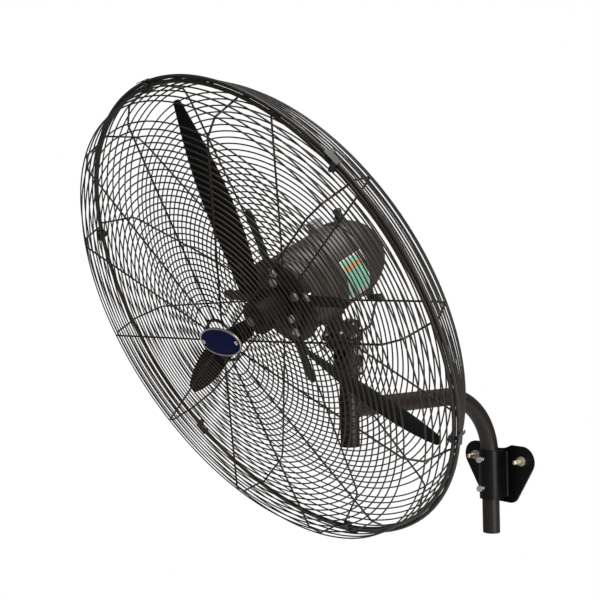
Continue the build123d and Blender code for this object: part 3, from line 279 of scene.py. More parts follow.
# ------------------------------------------------------------------ material tools
class Shader:
    """One principled material and the few nodes that its finish is made of."""

    def __init__(self, name):
        self.material = bpy.data.materials.new(name)
        self.material.use_nodes = True
        self.tree = self.material.node_tree
        self.principled = self.tree.nodes["Principled BSDF"]
        self.place = self.tree.nodes.new("ShaderNodeTexCoord").outputs["Object"]

    def node(self, kind, **inputs):
        made = self.tree.nodes.new(kind)
        for socket, value in inputs.items():
            self.feed(made.inputs[socket.replace("_", " ")], value)
        return made

    def feed(self, socket, value):
        if isinstance(value, bpy.types.NodeSocket):
            self.tree.links.new(value, socket)
        else:
            socket.default_value = value

    def set(self, **inputs):
        for socket, value in inputs.items():
            self.feed(self.principled.inputs[socket.replace("_", " ")], value)
        return self

    def noise(self, scale, detail=3.0, rough=0.55):
        return self.node("ShaderNodeTexNoise", Vector=self.place, Scale=scale, Detail=detail,
                         Roughness=rough).outputs["Fac"]

    def speckle(self, scale):
        return self.node("ShaderNodeTexVoronoi", Vector=self.place, Scale=scale).outputs["Distance"]

    def span(self, source, low, high, from_low=0.0, from_high=1.0):
        """Source from its own range to low..high."""
        made = self.node("ShaderNodeMapRange", Value=source)
        made.inputs["From Min"].default_value = from_low
        made.inputs["From Max"].default_value = from_high
        made.inputs["To Min"].default_value = low
        made.inputs["To Max"].default_value = high
        return made.outputs["Result"]

    def math(self, operation, first, second):
        made = self.tree.nodes.new("ShaderNodeMath")
        made.operation = operation
        self.feed(made.inputs[0], first)
        self.feed(made.inputs[1], second)
        return made.outputs[0]

    def mix(self, share, first, second):
        """Colour between first and second."""
        made = self.tree.nodes.new("ShaderNodeMix")
        made.data_type = "RGBA"
        self.feed(made.inputs["Factor"], share)
        colours = [socket for socket in made.inputs if socket.type == "RGBA"]
        for socket, colour in zip(colours, (first, second)):
            self.feed(socket, colour if isinstance(colour, bpy.types.NodeSocket) else (*colour, 1.0))
        return next(socket for socket in made.outputs if socket.type == "RGBA")

    def bump(self, height, strength, distance):
        made = self.node("ShaderNodeBump", Height=height, Strength=strength, Distance=distance)
        return self.set(Normal=made.outputs["Normal"])


def scaled(colour, factor):
    return tuple(channel * factor for channel in colour)


def painted(name, colour, roughness, gloss=0.5, orange_peel=0.12, dust=0.25):
    """Sprayed paint: orange peel, uneven sheen and a little pale dust where the surface faces up."""
    shader = Shader(name)
    clouds = shader.noise(22.0)
    up = shader.node("ShaderNodeSeparateXYZ", Vector=shader.node("ShaderNodeNewGeometry").outputs["Normal"])
    settled = shader.span(up.outputs["Z"], 0.0, dust, 0.2, 1.0)
    settled = shader.math("MULTIPLY", settled, shader.span(shader.noise(9.0), 0.2, 1.0, 0.35, 0.7))
    base = shader.mix(clouds, scaled(colour, 0.82), scaled(colour, 1.2))
    base = shader.mix(settled, base, tuple(0.08 + 0.9 * channel for channel in colour))
    shader.set(Base_Color=base, Roughness=shader.span(shader.noise(55.0), roughness - 0.07, roughness + 0.09))
    shader.set(Specular_IOR_Level=gloss)
    return shader.bump(shader.noise(900.0, 2.0), orange_peel, 0.0003).material


def coated_wire(name, colour):
    """Dip-coated wire: smooth, slightly wavy black coat."""
    shader = Shader(name)
    base = shader.mix(shader.noise(60.0), scaled(colour, 0.8), scaled(colour, 1.3))
    shader.set(Base_Color=base, Roughness=shader.span(shader.noise(140.0), 0.30, 0.44))
    shader.set(Specular_IOR_Level=0.62, Specular_Tint=(1.0, 0.88, 0.76, 1.0))
    return shader.bump(shader.noise(500.0), 0.10, 0.0003).material


def plated(name, colour, roughness, stain):
    """Zinc or chromate plating with faint crystalline patches and dull spots."""
    shader = Shader(name)
    patches = shader.speckle(420.0)
    base = shader.mix(shader.span(patches, 0.0, 0.5), colour, scaled(colour, 0.78))
    base = shader.mix(shader.span(shader.noise(160.0), 0.0, 0.6, 0.5, 0.75), base, stain)
    shader.set(Base_Color=base, Metallic=0.65,
               Roughness=shader.span(shader.noise(300.0), roughness - 0.08, roughness + 0.14))
    return shader.bump(shader.noise(1500.0), 0.08, 0.0002).material


def cast(name, colour):
    """Sand-cast metal under satin paint."""
    shader = Shader(name)
    grain = shader.noise(700.0, 4.0, 0.65)
    base = shader.mix(shader.noise(35.0), scaled(colour, 0.7), scaled(colour, 1.35))
    shader.set(Base_Color=base, Roughness=shader.span(grain, 0.40, 0.62), Specular_IOR_Level=0.3)
    return shader.bump(grain, 0.45, 0.0006).material


def turned_steel(name, colour, roughness=0.3):
    """Machined steel with fine tool marks and a film of oil."""
    shader = Shader(name)
    marks = shader.node("ShaderNodeTexWave", Vector=shader.place, Scale=900.0, Distortion=1.5).outputs["Fac"]
    base = shader.mix(shader.noise(80.0), scaled(colour, 0.75), scaled(colour, 1.1))
    shader.set(Base_Color=base, Metallic=1.0, Roughness=shader.span(marks, roughness - 0.05, roughness + 0.12))
    return shader.bump(marks, 0.10, 0.0001).material


def stacked_sheets(name, colour):
    """Edges of punched sheets, stacked along the fan axis."""
    shader = Shader(name)
    layers = shader.node("ShaderNodeTexWave", Vector=shader.place, Scale=320.0)
    layers.bands_direction = "Y"
    base = shader.mix(layers.outputs["Fac"], scaled(colour, 0.6), colour)
    shader.set(Base_Color=base, Metallic=1.0, Roughness=shader.span(shader.noise(90.0), 0.35, 0.55))
    return shader.bump(layers.outputs["Fac"], 0.3, 0.0002).material


def wound_wire(name, colour):
    """Enamelled copper turns under varnish."""
    shader = Shader(name)
    turns = shader.node("ShaderNodeTexWave", Vector=shader.place, Scale=260.0, Distortion=2.5).outputs["Fac"]
    base = shader.mix(turns, scaled(colour, 0.45), colour)
    shader.set(Base_Color=base, Metallic=1.0, Roughness=shader.span(turns, 0.22, 0.4), Coat_Weight=0.6)
    return shader.bump(turns, 0.6, 0.0005).material


def moulded(name, colour, roughness, grain=0.15):
    """Injection-moulded plastic with spark-eroded grain."""
    shader = Shader(name)
    fine = shader.noise(1400.0, 3.0)
    base = shader.mix(shader.noise(30.0), scaled(colour, 0.88), scaled(colour, 1.12))
    shader.set(Base_Color=base, Roughness=shader.span(fine, roughness - 0.06, roughness + 0.08))
    return shader.bump(fine, grain, 0.0002).material


# ------------------------------------------------------------------ guard
WELD_SINK = 0.5 * MM
RIB_BEND = 8 * MM
FRONT_FLAT_Y = -60.5 * MM
# Bends of the ribs as (inset from the rim, y), and the y of each wall ring.
FRONT_EDGE = (0.0433, -0.0575)
FRONT_SHOULDER = (0.0199, -0.0428)
FRONT_WALL_LEVELS = (-0.033, -0.022, -0.012)
REAR_EDGE = (0.0463, 0.0547)
REAR_SHOULDER = (0.0283, 0.0515)
REAR_WALL_LEVELS = (0.044, 0.035, 0.026, 0.0175, 0.0095)
# Bends of the rear ribs nearer to the motor as (radius, y).
REAR_KNEE = (0.150, 0.0645)
REAR_FOOT_Y = 0.068
CENTRE_RING = 0.034
CENTRE_RING_WIRE = 0.0025
MOUNT_RING_OUTER = 0.072
MOUNT_RING_EDGE = 0.001
MOUNT_RING_Y = (0.0628, 0.070)
SPIGOT_RADIUS = 0.043
BACKING_HALF = (0.0485, 0.020)
BACKING_THICK = 0.0015
BADGE_REAR_Y = FRONT_FLAT_Y - 0.004


def guard_size():
    return bpy.context.scene.wall_fan_guard


def beside(start, end, share, facing, reach):
    """Point at a share of the run from start to end, moved to its outer side by reach."""
    run = (Vector(end) - Vector(start))
    side = Vector((-run.y, run.x)).normalized() * facing
    return Vector(start) + run * share + side * reach


def at_bend(before, bend, after, facing, reach):
    """Point outside the rounded bend between two runs."""
    arrive = (Vector(bend) - Vector(before)).normalized()
    leave = (Vector(after) - Vector(bend)).normalized()
    along = (arrive + leave).normalized()
    rounding = RIB_BEND / along.dot(arrive) - RIB_BEND
    return Vector(bend) + facing * (reach - rounding) * Vector((-along.y, along.x))


def near_rim(inset, y):
    return (guard_size().rim_radius - inset, y)


def rim_ring_place(facing):
    size = guard_size()
    return size.rim_radius - (size.rim_nest if facing < 0 else 0), facing * size.rim_step / 2


def rib_end(facing):
    """Where a rib ends in the edge of its rim ring."""
    radius, y = rim_ring_place(facing)
    sunk = guard_size().rim_wire / 2 - WELD_SINK
    return radius - sunk, y + facing * sunk


def guard_wires(corners, facing, levels):
    """One half of the guard: ribs, flat rings, wall rings, rim ring; facing is -1 in front, +1 behind."""
    size = guard_size()
    bm = bmesh.new()
    reach = (size.rib_wire + size.ring_wire) / 2 - WELD_SINK
    path = rounded_path(corners, RIB_BEND)
    for i in range(size.rib_count):
        turn = Matrix.Rotation(2 * pi * i / size.rib_count, 3, "Y")
        tube_through(bm, [turn @ Vector((0, p.y, p.x)) for p in path], size.rib_wire / 2)
    pitch = (size.rim_radius - size.ring_inset - size.ring_first) / (size.ring_count - 1)
    for k in range(size.ring_count):
        radius = size.ring_first + k * pitch
        for start, end in zip(corners, corners[1:-1]):
            if start[0] <= radius <= end[0]:
                place = beside(start, end, (radius - start[0]) / (end[0] - start[0]), facing, reach)
                wire_ring(bm, place.x, place.y, size.ring_wire / 2)
    top, foot = corners[-2:]
    places = [at_bend(*corners[-3:], facing, reach)]
    places += [beside(top, foot, (level - top[1]) / (foot[1] - top[1]), facing, reach) for level in levels]
    for place in places:
        wire_ring(bm, place.x, place.y, size.ring_wire / 2, 160)
    wire_ring(bm, *rim_ring_place(facing), size.rim_wire / 2, 192, 12)
    return bm


class WALLFAN_OT_front_guard(bpy.types.Operator):
    """Front half of the guard with every ring, its centre ring and the badge's backing plate"""
    bl_idname = "wallfan.front_guard"
    bl_label = "Front guard"

    def execute(self, context):
        corners = [(CENTRE_RING, FRONT_FLAT_Y), near_rim(*FRONT_EDGE), near_rim(*FRONT_SHOULDER), rib_end(-1)]
        bm = guard_wires(corners, -1, FRONT_WALL_LEVELS)
        wire_ring(bm, CENTRE_RING, FRONT_FLAT_Y, CENTRE_RING_WIRE, 64, 10)
        wide, high = BACKING_HALF
        strip(bm, [(wide * cos(a), high * sin(a)) for a in angles(64)], BADGE_REAR_Y, BACKING_THICK)
        bm.transform(HEAD)
        wire = coated_wire("guard_wire", context.scene.wall_fan_finish.wire)
        piece = add_object("front_guard_wires", bm, "head", "guard_wire", [wire])
        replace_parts(piece, "front_guard", "front_guard_wall")
        return {"FINISHED"}


class WALLFAN_OT_rear_guard(bpy.types.Operator):
    """Rear half of the guard with every ring and the ring that is screwed to the motor"""
    bl_idname = "wallfan.rear_guard"
    bl_label = "Rear guard"

    def execute(self, context):
        edge = MOUNT_RING_OUTER - MOUNT_RING_EDGE
        corners = [(edge, REAR_FOOT_Y), REAR_KNEE, near_rim(*REAR_EDGE), near_rim(*REAR_SHOULDER), rib_end(1)]
        bm = guard_wires(corners, 1, REAR_WALL_LEVELS)
        front, rear = MOUNT_RING_Y
        profile = [(SPIGOT_RADIUS, front), (edge, front), (MOUNT_RING_OUTER, front + MOUNT_RING_EDGE),
                   (MOUNT_RING_OUTER, rear), (SPIGOT_RADIUS, rear)]
        merge(bm, closed_ring(profile, 72), TO_REAR)
        bm.transform(HEAD)
        piece = add_object("rear_guard_wires", bm, "head", "guard_wire")
        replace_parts(piece, "rear_guard", "rear_guard_wall")
        return {"FINISHED"}


# ------------------------------------------------------------------ guard fittings
STRAP_HALF = 0.009
STRAP_REACH = 0.143
STRAP_Y = 0.060
STRAP_THICK = 0.0028
STRAP_SHIFT = (0.006, 0.006)
STRAP_LEAN = radians(3.8)
STRAP_HUB_RADII = (0.019, 0.046)
STRAP_HUB_EDGE = 0.0005
# Places of the bolts as (x, z), read from the reference view.
BOLT_PLACES = ((0.014, 0.051), (0.004, 0.034), (0.042, 0.009), (0.071, 0.008),
               (0.011, -0.028), (0.009, -0.053), (-0.042, 0.009), (-0.066, 0.010))
# Sizes of bolts as (radius of the head, height of the head, length of the shank).
STRAP_BOLT = (0.0055, 0.0042, 0.010)
CLIP_BOLT = (0.0018, 0.0018, 0.0105)
WASHER_THICK = 0.0010
CLIP_ANGLES = (-0.6, 55.6, 117.4, 177.4, 235.0, 297.4)
CLIP_PLAY = 0.0001
CLIP_SHEET = 0.0010
CLIP_HALF = 0.0046
CLIP_EAR_HALF = 0.0036
CLIP_BLOCK_DEPTH = 0.0050


def block(bm, low, high, bevel):
    """Box between two corners, with its edges rounded off."""
    made = bmesh.new()
    middle = (Vector(low) + Vector(high)) / 2
    size = Vector(high) - Vector(low)
    bmesh.ops.create_cube(made, size=1.0, matrix=Matrix.Translation(middle) @ Matrix.Diagonal((*size, 1.0)))
    bmesh.ops.bevel(made, geom=made.edges[:], offset=bevel, segments=2, profile=0.5, affect="EDGES")
    merge(bm, made)


def slot_outline(start, end, half, steps=8):
    """Outline of a strap with round ends from one (x, z) point to another."""
    run = (Vector(end) - Vector(start)).normalized()
    heading = atan2(run.y, run.x)
    points = []
    for centre, first in ((end, heading - pi / 2), (start, heading + pi / 2)):
        points += [(centre[0] + half * cos(first + pi * i / steps), centre[1] + half * sin(first + pi * i / steps))
                   for i in range(steps + 1)]
    return points


def hex_bolt(bm, place, radius, height, shank):
    """Washer, chamfered hexagon head and shank; the head stands on the place's +Z side."""
    made = bmesh.new()
    washer = [(0, 0), (radius * 1.45, 0), (radius * 1.5, 0.0004), (radius * 1.45, WASHER_THICK), (0, WASHER_THICK)]
    head = [(0, WASHER_THICK), (radius * 1.08, WASHER_THICK), (radius * 1.08, height * 0.85), (radius * 0.86, height),
            (0, height)]
    stem = [(0, -shank), (radius * 0.52, -shank), (radius * 0.58, -shank + 0.0008), (radius * 0.58, 0), (0, 0)]
    for profile, segments in ((washer, 24), (head, 6), (stem, 16)):
        merge(made, lathe(profile, segments))
    bmesh.ops.recalc_face_normals(made, faces=made.faces)
    merge(bm, made, place)


class WALLFAN_OT_strap_cross(bpy.types.Operator):
    """Two flat straps that cross behind the blades, with their centre plate and bolts"""
    bl_idname = "wallfan.strap_cross"
    bl_label = "Strap cross"

    def execute(self, context):
        bm = bmesh.new()
        ends = (((0, -STRAP_REACH), (0, STRAP_REACH)), ((-STRAP_REACH, 0), (STRAP_REACH, 0)))
        for lift, (start, end) in enumerate(ends):
            strip(bm, slot_outline(start, end, STRAP_HALF), STRAP_Y + lift * STRAP_THICK * 0.4, STRAP_THICK * 0.6)
        bm.transform(Matrix.Translation((STRAP_SHIFT[0], 0, STRAP_SHIFT[1])) @ Matrix.Rotation(STRAP_LEAN, 4, "Y"))
        inner, outer = STRAP_HUB_RADII
        profile = [(inner, 0.0), (outer - STRAP_HUB_EDGE, 0.0), (outer, STRAP_HUB_EDGE), (outer, STRAP_THICK),
                   (inner, STRAP_THICK)]
        merge(bm, closed_ring(profile, 64), Matrix.Translation((0, STRAP_Y, 0)) @ TO_REAR)
        settle(bm, HEAD)
        piece = add_object("strap_cross", bm, "head", "guard_strap", smooth=False)
        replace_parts(piece, "guard_cross")
        bolts = bmesh.new()
        for x, z in BOLT_PLACES:
            hex_bolt(bolts, Matrix.Translation((x, STRAP_Y, z)) @ TO_FRONT, *STRAP_BOLT)
        bolts.transform(HEAD)
        piece = add_object("strap_bolts", bolts, "head", "zinc", smooth=False)
        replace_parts(piece, "guard_screws")
        return {"FINISHED"}


class WALLFAN_OT_rim_clamps(bpy.types.Operator):
    """Six small clamps that hold the two rims together: bent strap with a tab, black block and screw"""
    bl_idname = "wallfan.rim_clamps"
    bl_label = "Rim clamps"

    def execute(self, context):
        size = guard_size()
        outer = size.rim_radius + size.rim_wire / 2 + CLIP_PLAY
        inner = size.rim_radius - size.rim_nest - size.rim_wire / 2 - CLIP_PLAY
        straps, blocks, screws = bmesh.new(), bmesh.new(), bmesh.new()
        # The rim straps get a copy of the black strap paint about ten times lighter: a painted highlight for the light
        # they reflect.
        highlight_strap_paint = painted("rim_strap_painted_highlight", (0.030, 0.029, 0.028), 0.34, gloss=0.6, dust=0.20)
        for angle in CLIP_ANGLES:
            turn = Matrix.Rotation(radians(angle - 90), 4, "Y")
            strap, body = bmesh.new(), bmesh.new()
            block(strap, (outer, -CLIP_HALF, -0.0045), (outer + CLIP_SHEET, CLIP_HALF, 0.0190), 0.0004)
            block(strap, (outer, 0.0042, 0.0110), (outer + CLIP_SHEET, 0.0100, 0.0175), 0.0004)
            for low in (-CLIP_HALF, CLIP_HALF - CLIP_SHEET):
                block(strap, (inner - 0.0030, low, -CLIP_EAR_HALF), (outer + 0.0006, low + CLIP_SHEET, CLIP_EAR_HALF),
                      0.0003)
            merge(straps, strap, turn)
            block(body, (inner - CLIP_BLOCK_DEPTH, -0.0035, -0.0045), (inner, 0.0035, 0.0045), 0.0009)
            merge(blocks, body, turn)
            place = turn @ Matrix.Translation((inner - 0.0026, -CLIP_HALF, 0)) @ TO_FRONT
            hex_bolt(screws, place, *CLIP_BOLT)
        for name, bm, slot, nodes in (("rim_straps", straps, "guard_strap", ("rim_clips",)),
                                      ("rim_blocks", blocks, "block_plastic", ("clip_blocks",)),
                                      ("rim_screws", screws, "black_steel", ("clip_screws", "clip_nuts"))):
            bm.transform(HEAD)
            # The rim straps take the lighter paint with the painted highlight, the other pieces their slot's own
            # finish.
            finish = highlight_strap_paint if slot == "guard_strap" else bpy.data.materials[slot]
            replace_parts(add_object(name, bm, "head", slot, [finish], smooth=False), *nodes)
        return {"FINISHED"}


# ------------------------------------------------------------------ motor
MOTOR_RADIUS = 0.066
COVER_SEAM_Y = 0.203
COVER_WALL = 0.003
DOME_START_Y = 0.1959
DOME_LENGTH = 0.0805
DOME_SWELL = 1.04
DOME_STEPS = 30
# Bosses of the knob and the crank as (radius, z) profiles, and the crank's own place as (x, y).
KNOB_BOSS = [(0.0, 0.050), (0.0095, 0.050), (0.0085, 0.064), (0.0078, 0.0685), (0.0068, 0.0695), (0.0, 0.0695)]
CRANK_BOSS = [(0.0, -0.050), (0.011, -0.050), (0.0085, -0.062), (0.0075, -0.070), (0.0065, -0.0712), (0.0, -0.0712)]
CRANK_PLACE = (0.015, 0.222)
CRANK_PIN_X = 0.0338
CRANK_LEVEL = -0.0765
CRANK_THICK = 0.004
CRANK_HALF = 0.0068
LINK_ANCHOR = (0.026, 0.149, -0.1097)
LINK_ROD_RADIUS = 0.0021
LINK_STEP = Vector((0, 0, 0.003))
# Low corner, high corner and rounding.
BOX_BODY = ((-0.0245, 0.1830, 0.0560), (-0.0095, 0.2060, 0.0765), 0.0012)
BOX_LID = ((-0.0255, 0.1820, 0.0765), (-0.0085, 0.2070, 0.0795), 0.0010)
# Sections of the pedestal as (z, half x, half y, middle y), from its drum up to its saddle.
PEDESTAL_Y = 0.149
PEDESTAL_SECTIONS = (
    (-0.1043, 0.0290, 0.0290, PEDESTAL_Y), (-0.1030, 0.0325, 0.0325, PEDESTAL_Y),
    (-0.1010, 0.0335, 0.0335, PEDESTAL_Y), (-0.0965, 0.0335, 0.0335, PEDESTAL_Y),
    (-0.0945, 0.0320, 0.0320, PEDESTAL_Y), (-0.0940, 0.0150, 0.0165, 0.147),
    (-0.0880, 0.0125, 0.0140, 0.146), (-0.0760, 0.0130, 0.0150, 0.143),
    (-0.0680, 0.0210, 0.0250, 0.141), (-0.0630, 0.0270, 0.0310, 0.140), (-0.0560, 0.0280, 0.0320, 0.140))
PEDESTAL_BOLT_CIRCLE = 0.0255
PEDESTAL_BOLT_Z = -0.0943
PEDESTAL_BOLT = (0.0038, 0.0036, 0.005)
FLANGE_PROFILE = [(0.0235, -0.1185), (0.0290, -0.1185), (0.0325, -0.1165), (0.0330, -0.1135), (0.0320, -0.1123),
                  (0.0235, -0.1123)]


def dome_radius(y):
    share = min(1.0, (y - DOME_START_Y) / DOME_LENGTH)
    return DOME_SWELL * MOTOR_RADIUS * (1 - share ** 1.67) ** (1 / 2.87)


class WALLFAN_OT_motor_dome(bpy.types.Operator):
    """Rounded rear cap of the motor with its seam, and the bosses of the knob and the crank"""
    bl_idname = "wallfan.motor_dome"
    bl_label = "Motor dome"

    def execute(self, context):
        rear = DOME_START_Y + DOME_LENGTH
        front = COVER_SEAM_Y + 0.004
        places = [front + (rear - front) * sin(pi / 2 * i / DOME_STEPS) for i in range(DOME_STEPS)]
        outer = [(dome_radius(y), y) for y in places]
        lip = [(MOTOR_RADIUS, COVER_SEAM_Y), (MOTOR_RADIUS + 0.0012, COVER_SEAM_Y + 0.0008),
               (MOTOR_RADIUS + 0.0020, COVER_SEAM_Y + 0.0024)]
        narrow = 1 - COVER_WALL / MOTOR_RADIUS
        shorten = 1 - COVER_WALL / (rear - COVER_SEAM_Y)
        inner = [(r * narrow, COVER_SEAM_Y + (y - COVER_SEAM_Y) * shorten) for r, y in reversed(outer)]
        inner.append((MOTOR_RADIUS - COVER_WALL, COVER_SEAM_Y))
        bm = lathe([(0, rear - COVER_WALL)] + inner + lip + outer + [(0, rear)], 96)
        bm.transform(TO_REAR)
        for profile in (KNOB_BOSS, CRANK_BOSS):
            merge(bm, lathe(profile, 28), Matrix.Translation((*CRANK_PLACE, 0)))
        settle(bm, HEAD)
        piece = add_object("motor_dome", bm, "head", "motor_paint")
        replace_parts(piece, "rear_cover")
        return {"FINISHED"}


class WALLFAN_OT_oscillating_link(bpy.types.Operator):
    """Crank arm with its pin, and the bent rod from that pin to the fixed screw"""
    bl_idname = "wallfan.oscillating_link"
    bl_label = "Oscillating link"

    def execute(self, context):
        x, y = CRANK_PLACE
        low, high = CRANK_LEVEL, CRANK_LEVEL + CRANK_THICK
        bm = bmesh.new()
        outline = slot_outline((x, y), (CRANK_PIN_X, y), CRANK_HALF)
        solid_between(bm, [[bm.verts.new((px, py, z)) for px, py in outline] for z in (low, high)])
        shaft = [(0, low - 0.004), (0.0050, low - 0.004), (0.0056, low), (0.0056, high), (0.0048, high), (0.0048, 0.0),
                 (0, 0.0)]
        pin = [(0, low - 0.008), (0.0026, low - 0.008), (0.0030, low - 0.007), (0.0030, low), (0, low)]
        for centre, profile in ((x, shaft), (CRANK_PIN_X, pin)):
            merge(bm, lathe(profile, 20), Matrix.Translation((centre, y, 0)))
        settle(bm, HEAD)
        piece = add_object("crank_arm", bm, "crank_drive", "black_steel", smooth=False)
        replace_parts(piece, "crank", "crank_clip")

        near = Vector(LINK_ANCHOR)
        far = Vector((CRANK_PIN_X, y, low - 0.0030))
        along = Vector((far.x - near.x, far.y - near.y, 0)).normalized()
        bm = bmesh.new()
        path = [near + along * 0.0078, near + along * 0.036, near + along * 0.042 + LINK_STEP,
                far - along * 0.012 - LINK_STEP, far - along * 0.0045]
        tube_through(bm, path, LINK_ROD_RADIUS, 10)
        for centre, bore, width, half in ((near, 0.0061, 0.0095, 0.0015), (far, 0.0032, 0.0060, 0.0018)):
            profile = [(bore, -half), (width, -half), (width + 0.0003, 0), (width, half), (bore, half)]
            merge(bm, closed_ring(profile, 28), Matrix.Translation(centre))
        settle(bm, HEAD)
        piece = add_object("bent_link", bm, "link", "black_steel")
        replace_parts(piece, "link_rod")
        return {"FINISHED"}


class WALLFAN_OT_small_box(bpy.types.Operator):
    """Small grey terminal box on top of the motor, with its lid"""
    bl_idname = "wallfan.small_box"
    bl_label = "Terminal box"

    def execute(self, context):
        bm = bmesh.new()
        block(bm, *BOX_BODY)
        block(bm, *BOX_LID)
        bm.transform(HEAD)
        piece = add_object("small_box", bm, "head", "box_grey", smooth=False)
        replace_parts(piece, "terminal_box", "terminal_lid", "lid_screws", "cable_gland")
        return {"FINISHED"}


class WALLFAN_OT_pedestal(bpy.types.Operator):
    """Casting under the motor: round gear drum below, narrow neck, flared saddle above"""
    bl_idname = "wallfan.pedestal"
    bl_label = "Pedestal"

    def execute(self, context):
        bm = bmesh.new()
        solid_between(bm, [[bm.verts.new((wide * cos(a), middle + deep * sin(a), z)) for a in angles(48)]
                           for z, wide, deep, middle in PEDESTAL_SECTIONS])
        settle(bm, HEAD)
        piece = add_object("pedestal_casting", bm, "head", "cast_paint")
        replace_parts(piece, "motor_pedestal")
        bolts = bmesh.new()
        for i in range(5):
            angle = radians(72 * i - 40)
            out = (PEDESTAL_BOLT_CIRCLE * cos(angle), PEDESTAL_Y + PEDESTAL_BOLT_CIRCLE * sin(angle), PEDESTAL_BOLT_Z)
            hex_bolt(bolts, Matrix.Translation(out), *PEDESTAL_BOLT)
        bolts.transform(HEAD)
        add_object("pedestal_bolts", bolts, "head", "zinc", smooth=False)
        flange = closed_ring(FLANGE_PROFILE, 48)
        settle(flange, HEAD @ Matrix.Translation((0, PEDESTAL_Y, 0)))
        add_object("swivel_flange", flange, "tilt_base", "cast_paint")
        return {"FINISHED"}


# ------------------------------------------------------------------ badge and label
BADGE_HALF = (0.0525, 0.024)
# The badge's rolled edge and its domed face as (inset, height) from the outer edge of its back.
BADGE_EDGE = [(0.0, 0.0), (0.0, 0.0019), (-0.0003, 0.0027), (-0.0009, 0.0031), (-0.0015, 0.0030),
              (-0.0021, 0.0024), (-0.0024, 0.0020)]
BADGE_DOME = [(-0.0060, 0.00225), (-0.0120, 0.0025), (-0.0180, 0.0026)]
LABEL_RADIUS = 0.0670
LABEL_SWEEP = (radians(70.0), radians(133.0))
LABEL_Y = (0.148, 0.197)
LABEL_CELLS = (28, 12)
LABEL_THICK = 0.0004


class WALLFAN_OT_badge(bpy.types.Operator):
    """Blank oval badge: domed blue face inside a rolled champagne edge"""
    bl_idname = "wallfan.badge"
    bl_label = "Badge"

    def execute(self, context):
        finish = context.scene.wall_fan_finish
        edge = plated("badge_edge", (0.60, 0.55, 0.46), 0.24, (0.42, 0.38, 0.30))
        face = badge_face(finish.badge)
        bm = bmesh.new()
        loops = [oval_loop(bm, inset, BADGE_REAR_Y - height) for inset, height in BADGE_EDGE + BADGE_DOME]
        join_loops(bm, loops[:len(BADGE_EDGE)], material=0)
        join_loops(bm, loops[len(BADGE_EDGE) - 1:], material=1)
        bm.faces.new(loops[-1]).material_index = 1
        bm.faces.new(list(reversed(loops[0]))).material_index = 0
        settle(bm, HEAD)
        piece = add_object("oval_badge", bm, "head", "badge_face", [edge, face])
        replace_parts(piece, "badge")
        return {"FINISHED"}


def oval_loop(bm, inset, y):
    width, height = (half + inset for half in BADGE_HALF)
    return [bm.verts.new((width * cos(a), y, height * sin(a))) for a in angles(96)]


def badge_face(colour):
    """Deep blue enamel print of uneven tone, with a fine metal fleck."""
    shader = Shader("badge_enamel")
    base = shader.mix(shader.noise(26.0), scaled(colour, 0.55), scaled(colour, 1.15))
    base = shader.mix(shader.span(shader.speckle(2600.0), 0.16, 0.0, 0.0, 0.28), base, (0.006, 0.020, 0.16))
    shader.set(Base_Color=base, Roughness=shader.span(shader.noise(120.0), 0.26, 0.40))
    shader.set(Specular_IOR_Level=0.03)
    return shader.bump(shader.noise(900.0), 0.04, 0.0001).material


class WALLFAN_OT_rating_label(bpy.types.Operator):
    """Blank rating label curved round the motor: green ground, orange band, pale margins"""
    bl_idname = "wallfan.rating_label"
    bl_label = "Rating label"

    def execute(self, context):
        bm = bmesh.new()
        uv = bm.loops.layers.uv.new("label")
        (start, end), (front, rear), (around, along) = LABEL_SWEEP, LABEL_Y, LABEL_CELLS
        grid = []
        for i in range(around + 1):
            angle = start + (end - start) * i / around
            grid.append([bm.verts.new((LABEL_RADIUS * sin(angle), front + (rear - front) * k / along,
                                       LABEL_RADIUS * cos(angle))) for k in range(along + 1)])
        for i in range(around):
            for k in range(along):
                cells = ((i, k), (i, k + 1), (i + 1, k + 1), (i + 1, k))
                face = bm.faces.new([grid[a][b] for a, b in cells])
                for loop, (a, b) in zip(face.loops, cells):
                    loop[uv].uv = (b / along, a / around)
        bmesh.ops.solidify(bm, geom=bm.faces[:] + bm.edges[:] + bm.verts[:], thickness=LABEL_THICK)
        settle(bm, HEAD)
        piece = add_object("rating_label", bm, "head", "label", [label_print(context.scene.wall_fan_finish)])
        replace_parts(piece, "rating_plate")
        return {"FINISHED"}


def label_print(finish):
    """Printed film: green with an orange band and pale margins, by the label's own UV."""
    shader = Shader("label_film")
    place = shader.node("ShaderNodeUVMap")
    place.uv_map = "label"
    parts = shader.node("ShaderNodeSeparateXYZ", Vector=place.outputs["UV"])
    across, down = parts.outputs["X"], parts.outputs["Y"]

    def between(source, low, high):
        over = shader.math("GREATER_THAN", source, low)
        return shader.math("MULTIPLY", over, shader.math("LESS_THAN", source, high))

    ground = shader.mix(shader.noise(40.0), scaled(finish.label, 0.85), scaled(finish.label, 1.12))
    band = between(down, 0.16, 0.28)
    base = shader.mix(band, ground, tuple(finish.band))
    inside = shader.math("MULTIPLY", between(across, 0.05, 0.95), between(down, 0.05, 0.80))
    base = shader.mix(inside, (0.80, 0.84, 0.80), base)
    shader.set(Base_Color=base, Roughness=shader.span(shader.noise(200.0), 0.28, 0.40), Coat_Weight=0.3)
    return shader.bump(shader.noise(600.0), 0.05, 0.0001).material


# ------------------------------------------------------------------ fixings
ANCHOR_SHANK = 0.004
ANCHOR_WAIST = 0.003
ANCHOR_THREAD = 0.0038
ARM_TUBE_RADIUS = 0.016
WELD_RADIUS = 0.0021
CLAMP_WELD_STEPS = 90
NECK_WELD_STEPS = 96


def thread_profile(radius, start, end, pitch=1.25 * MM, depth=0.45 * MM):
    """(radius, height) pairs of a screw thread's crests and roots, drawn as rings."""
    profile = [(radius - 2 * depth, start), (radius - depth, start + pitch / 2)]
    height = start + pitch / 2
    while height < end - pitch:
        profile += [(radius - depth, height), (radius, height + pitch * 0.35), (radius, height + pitch * 0.5)]
        height += pitch
    return profile + [(radius - depth, height), (radius - 2 * depth, end)]


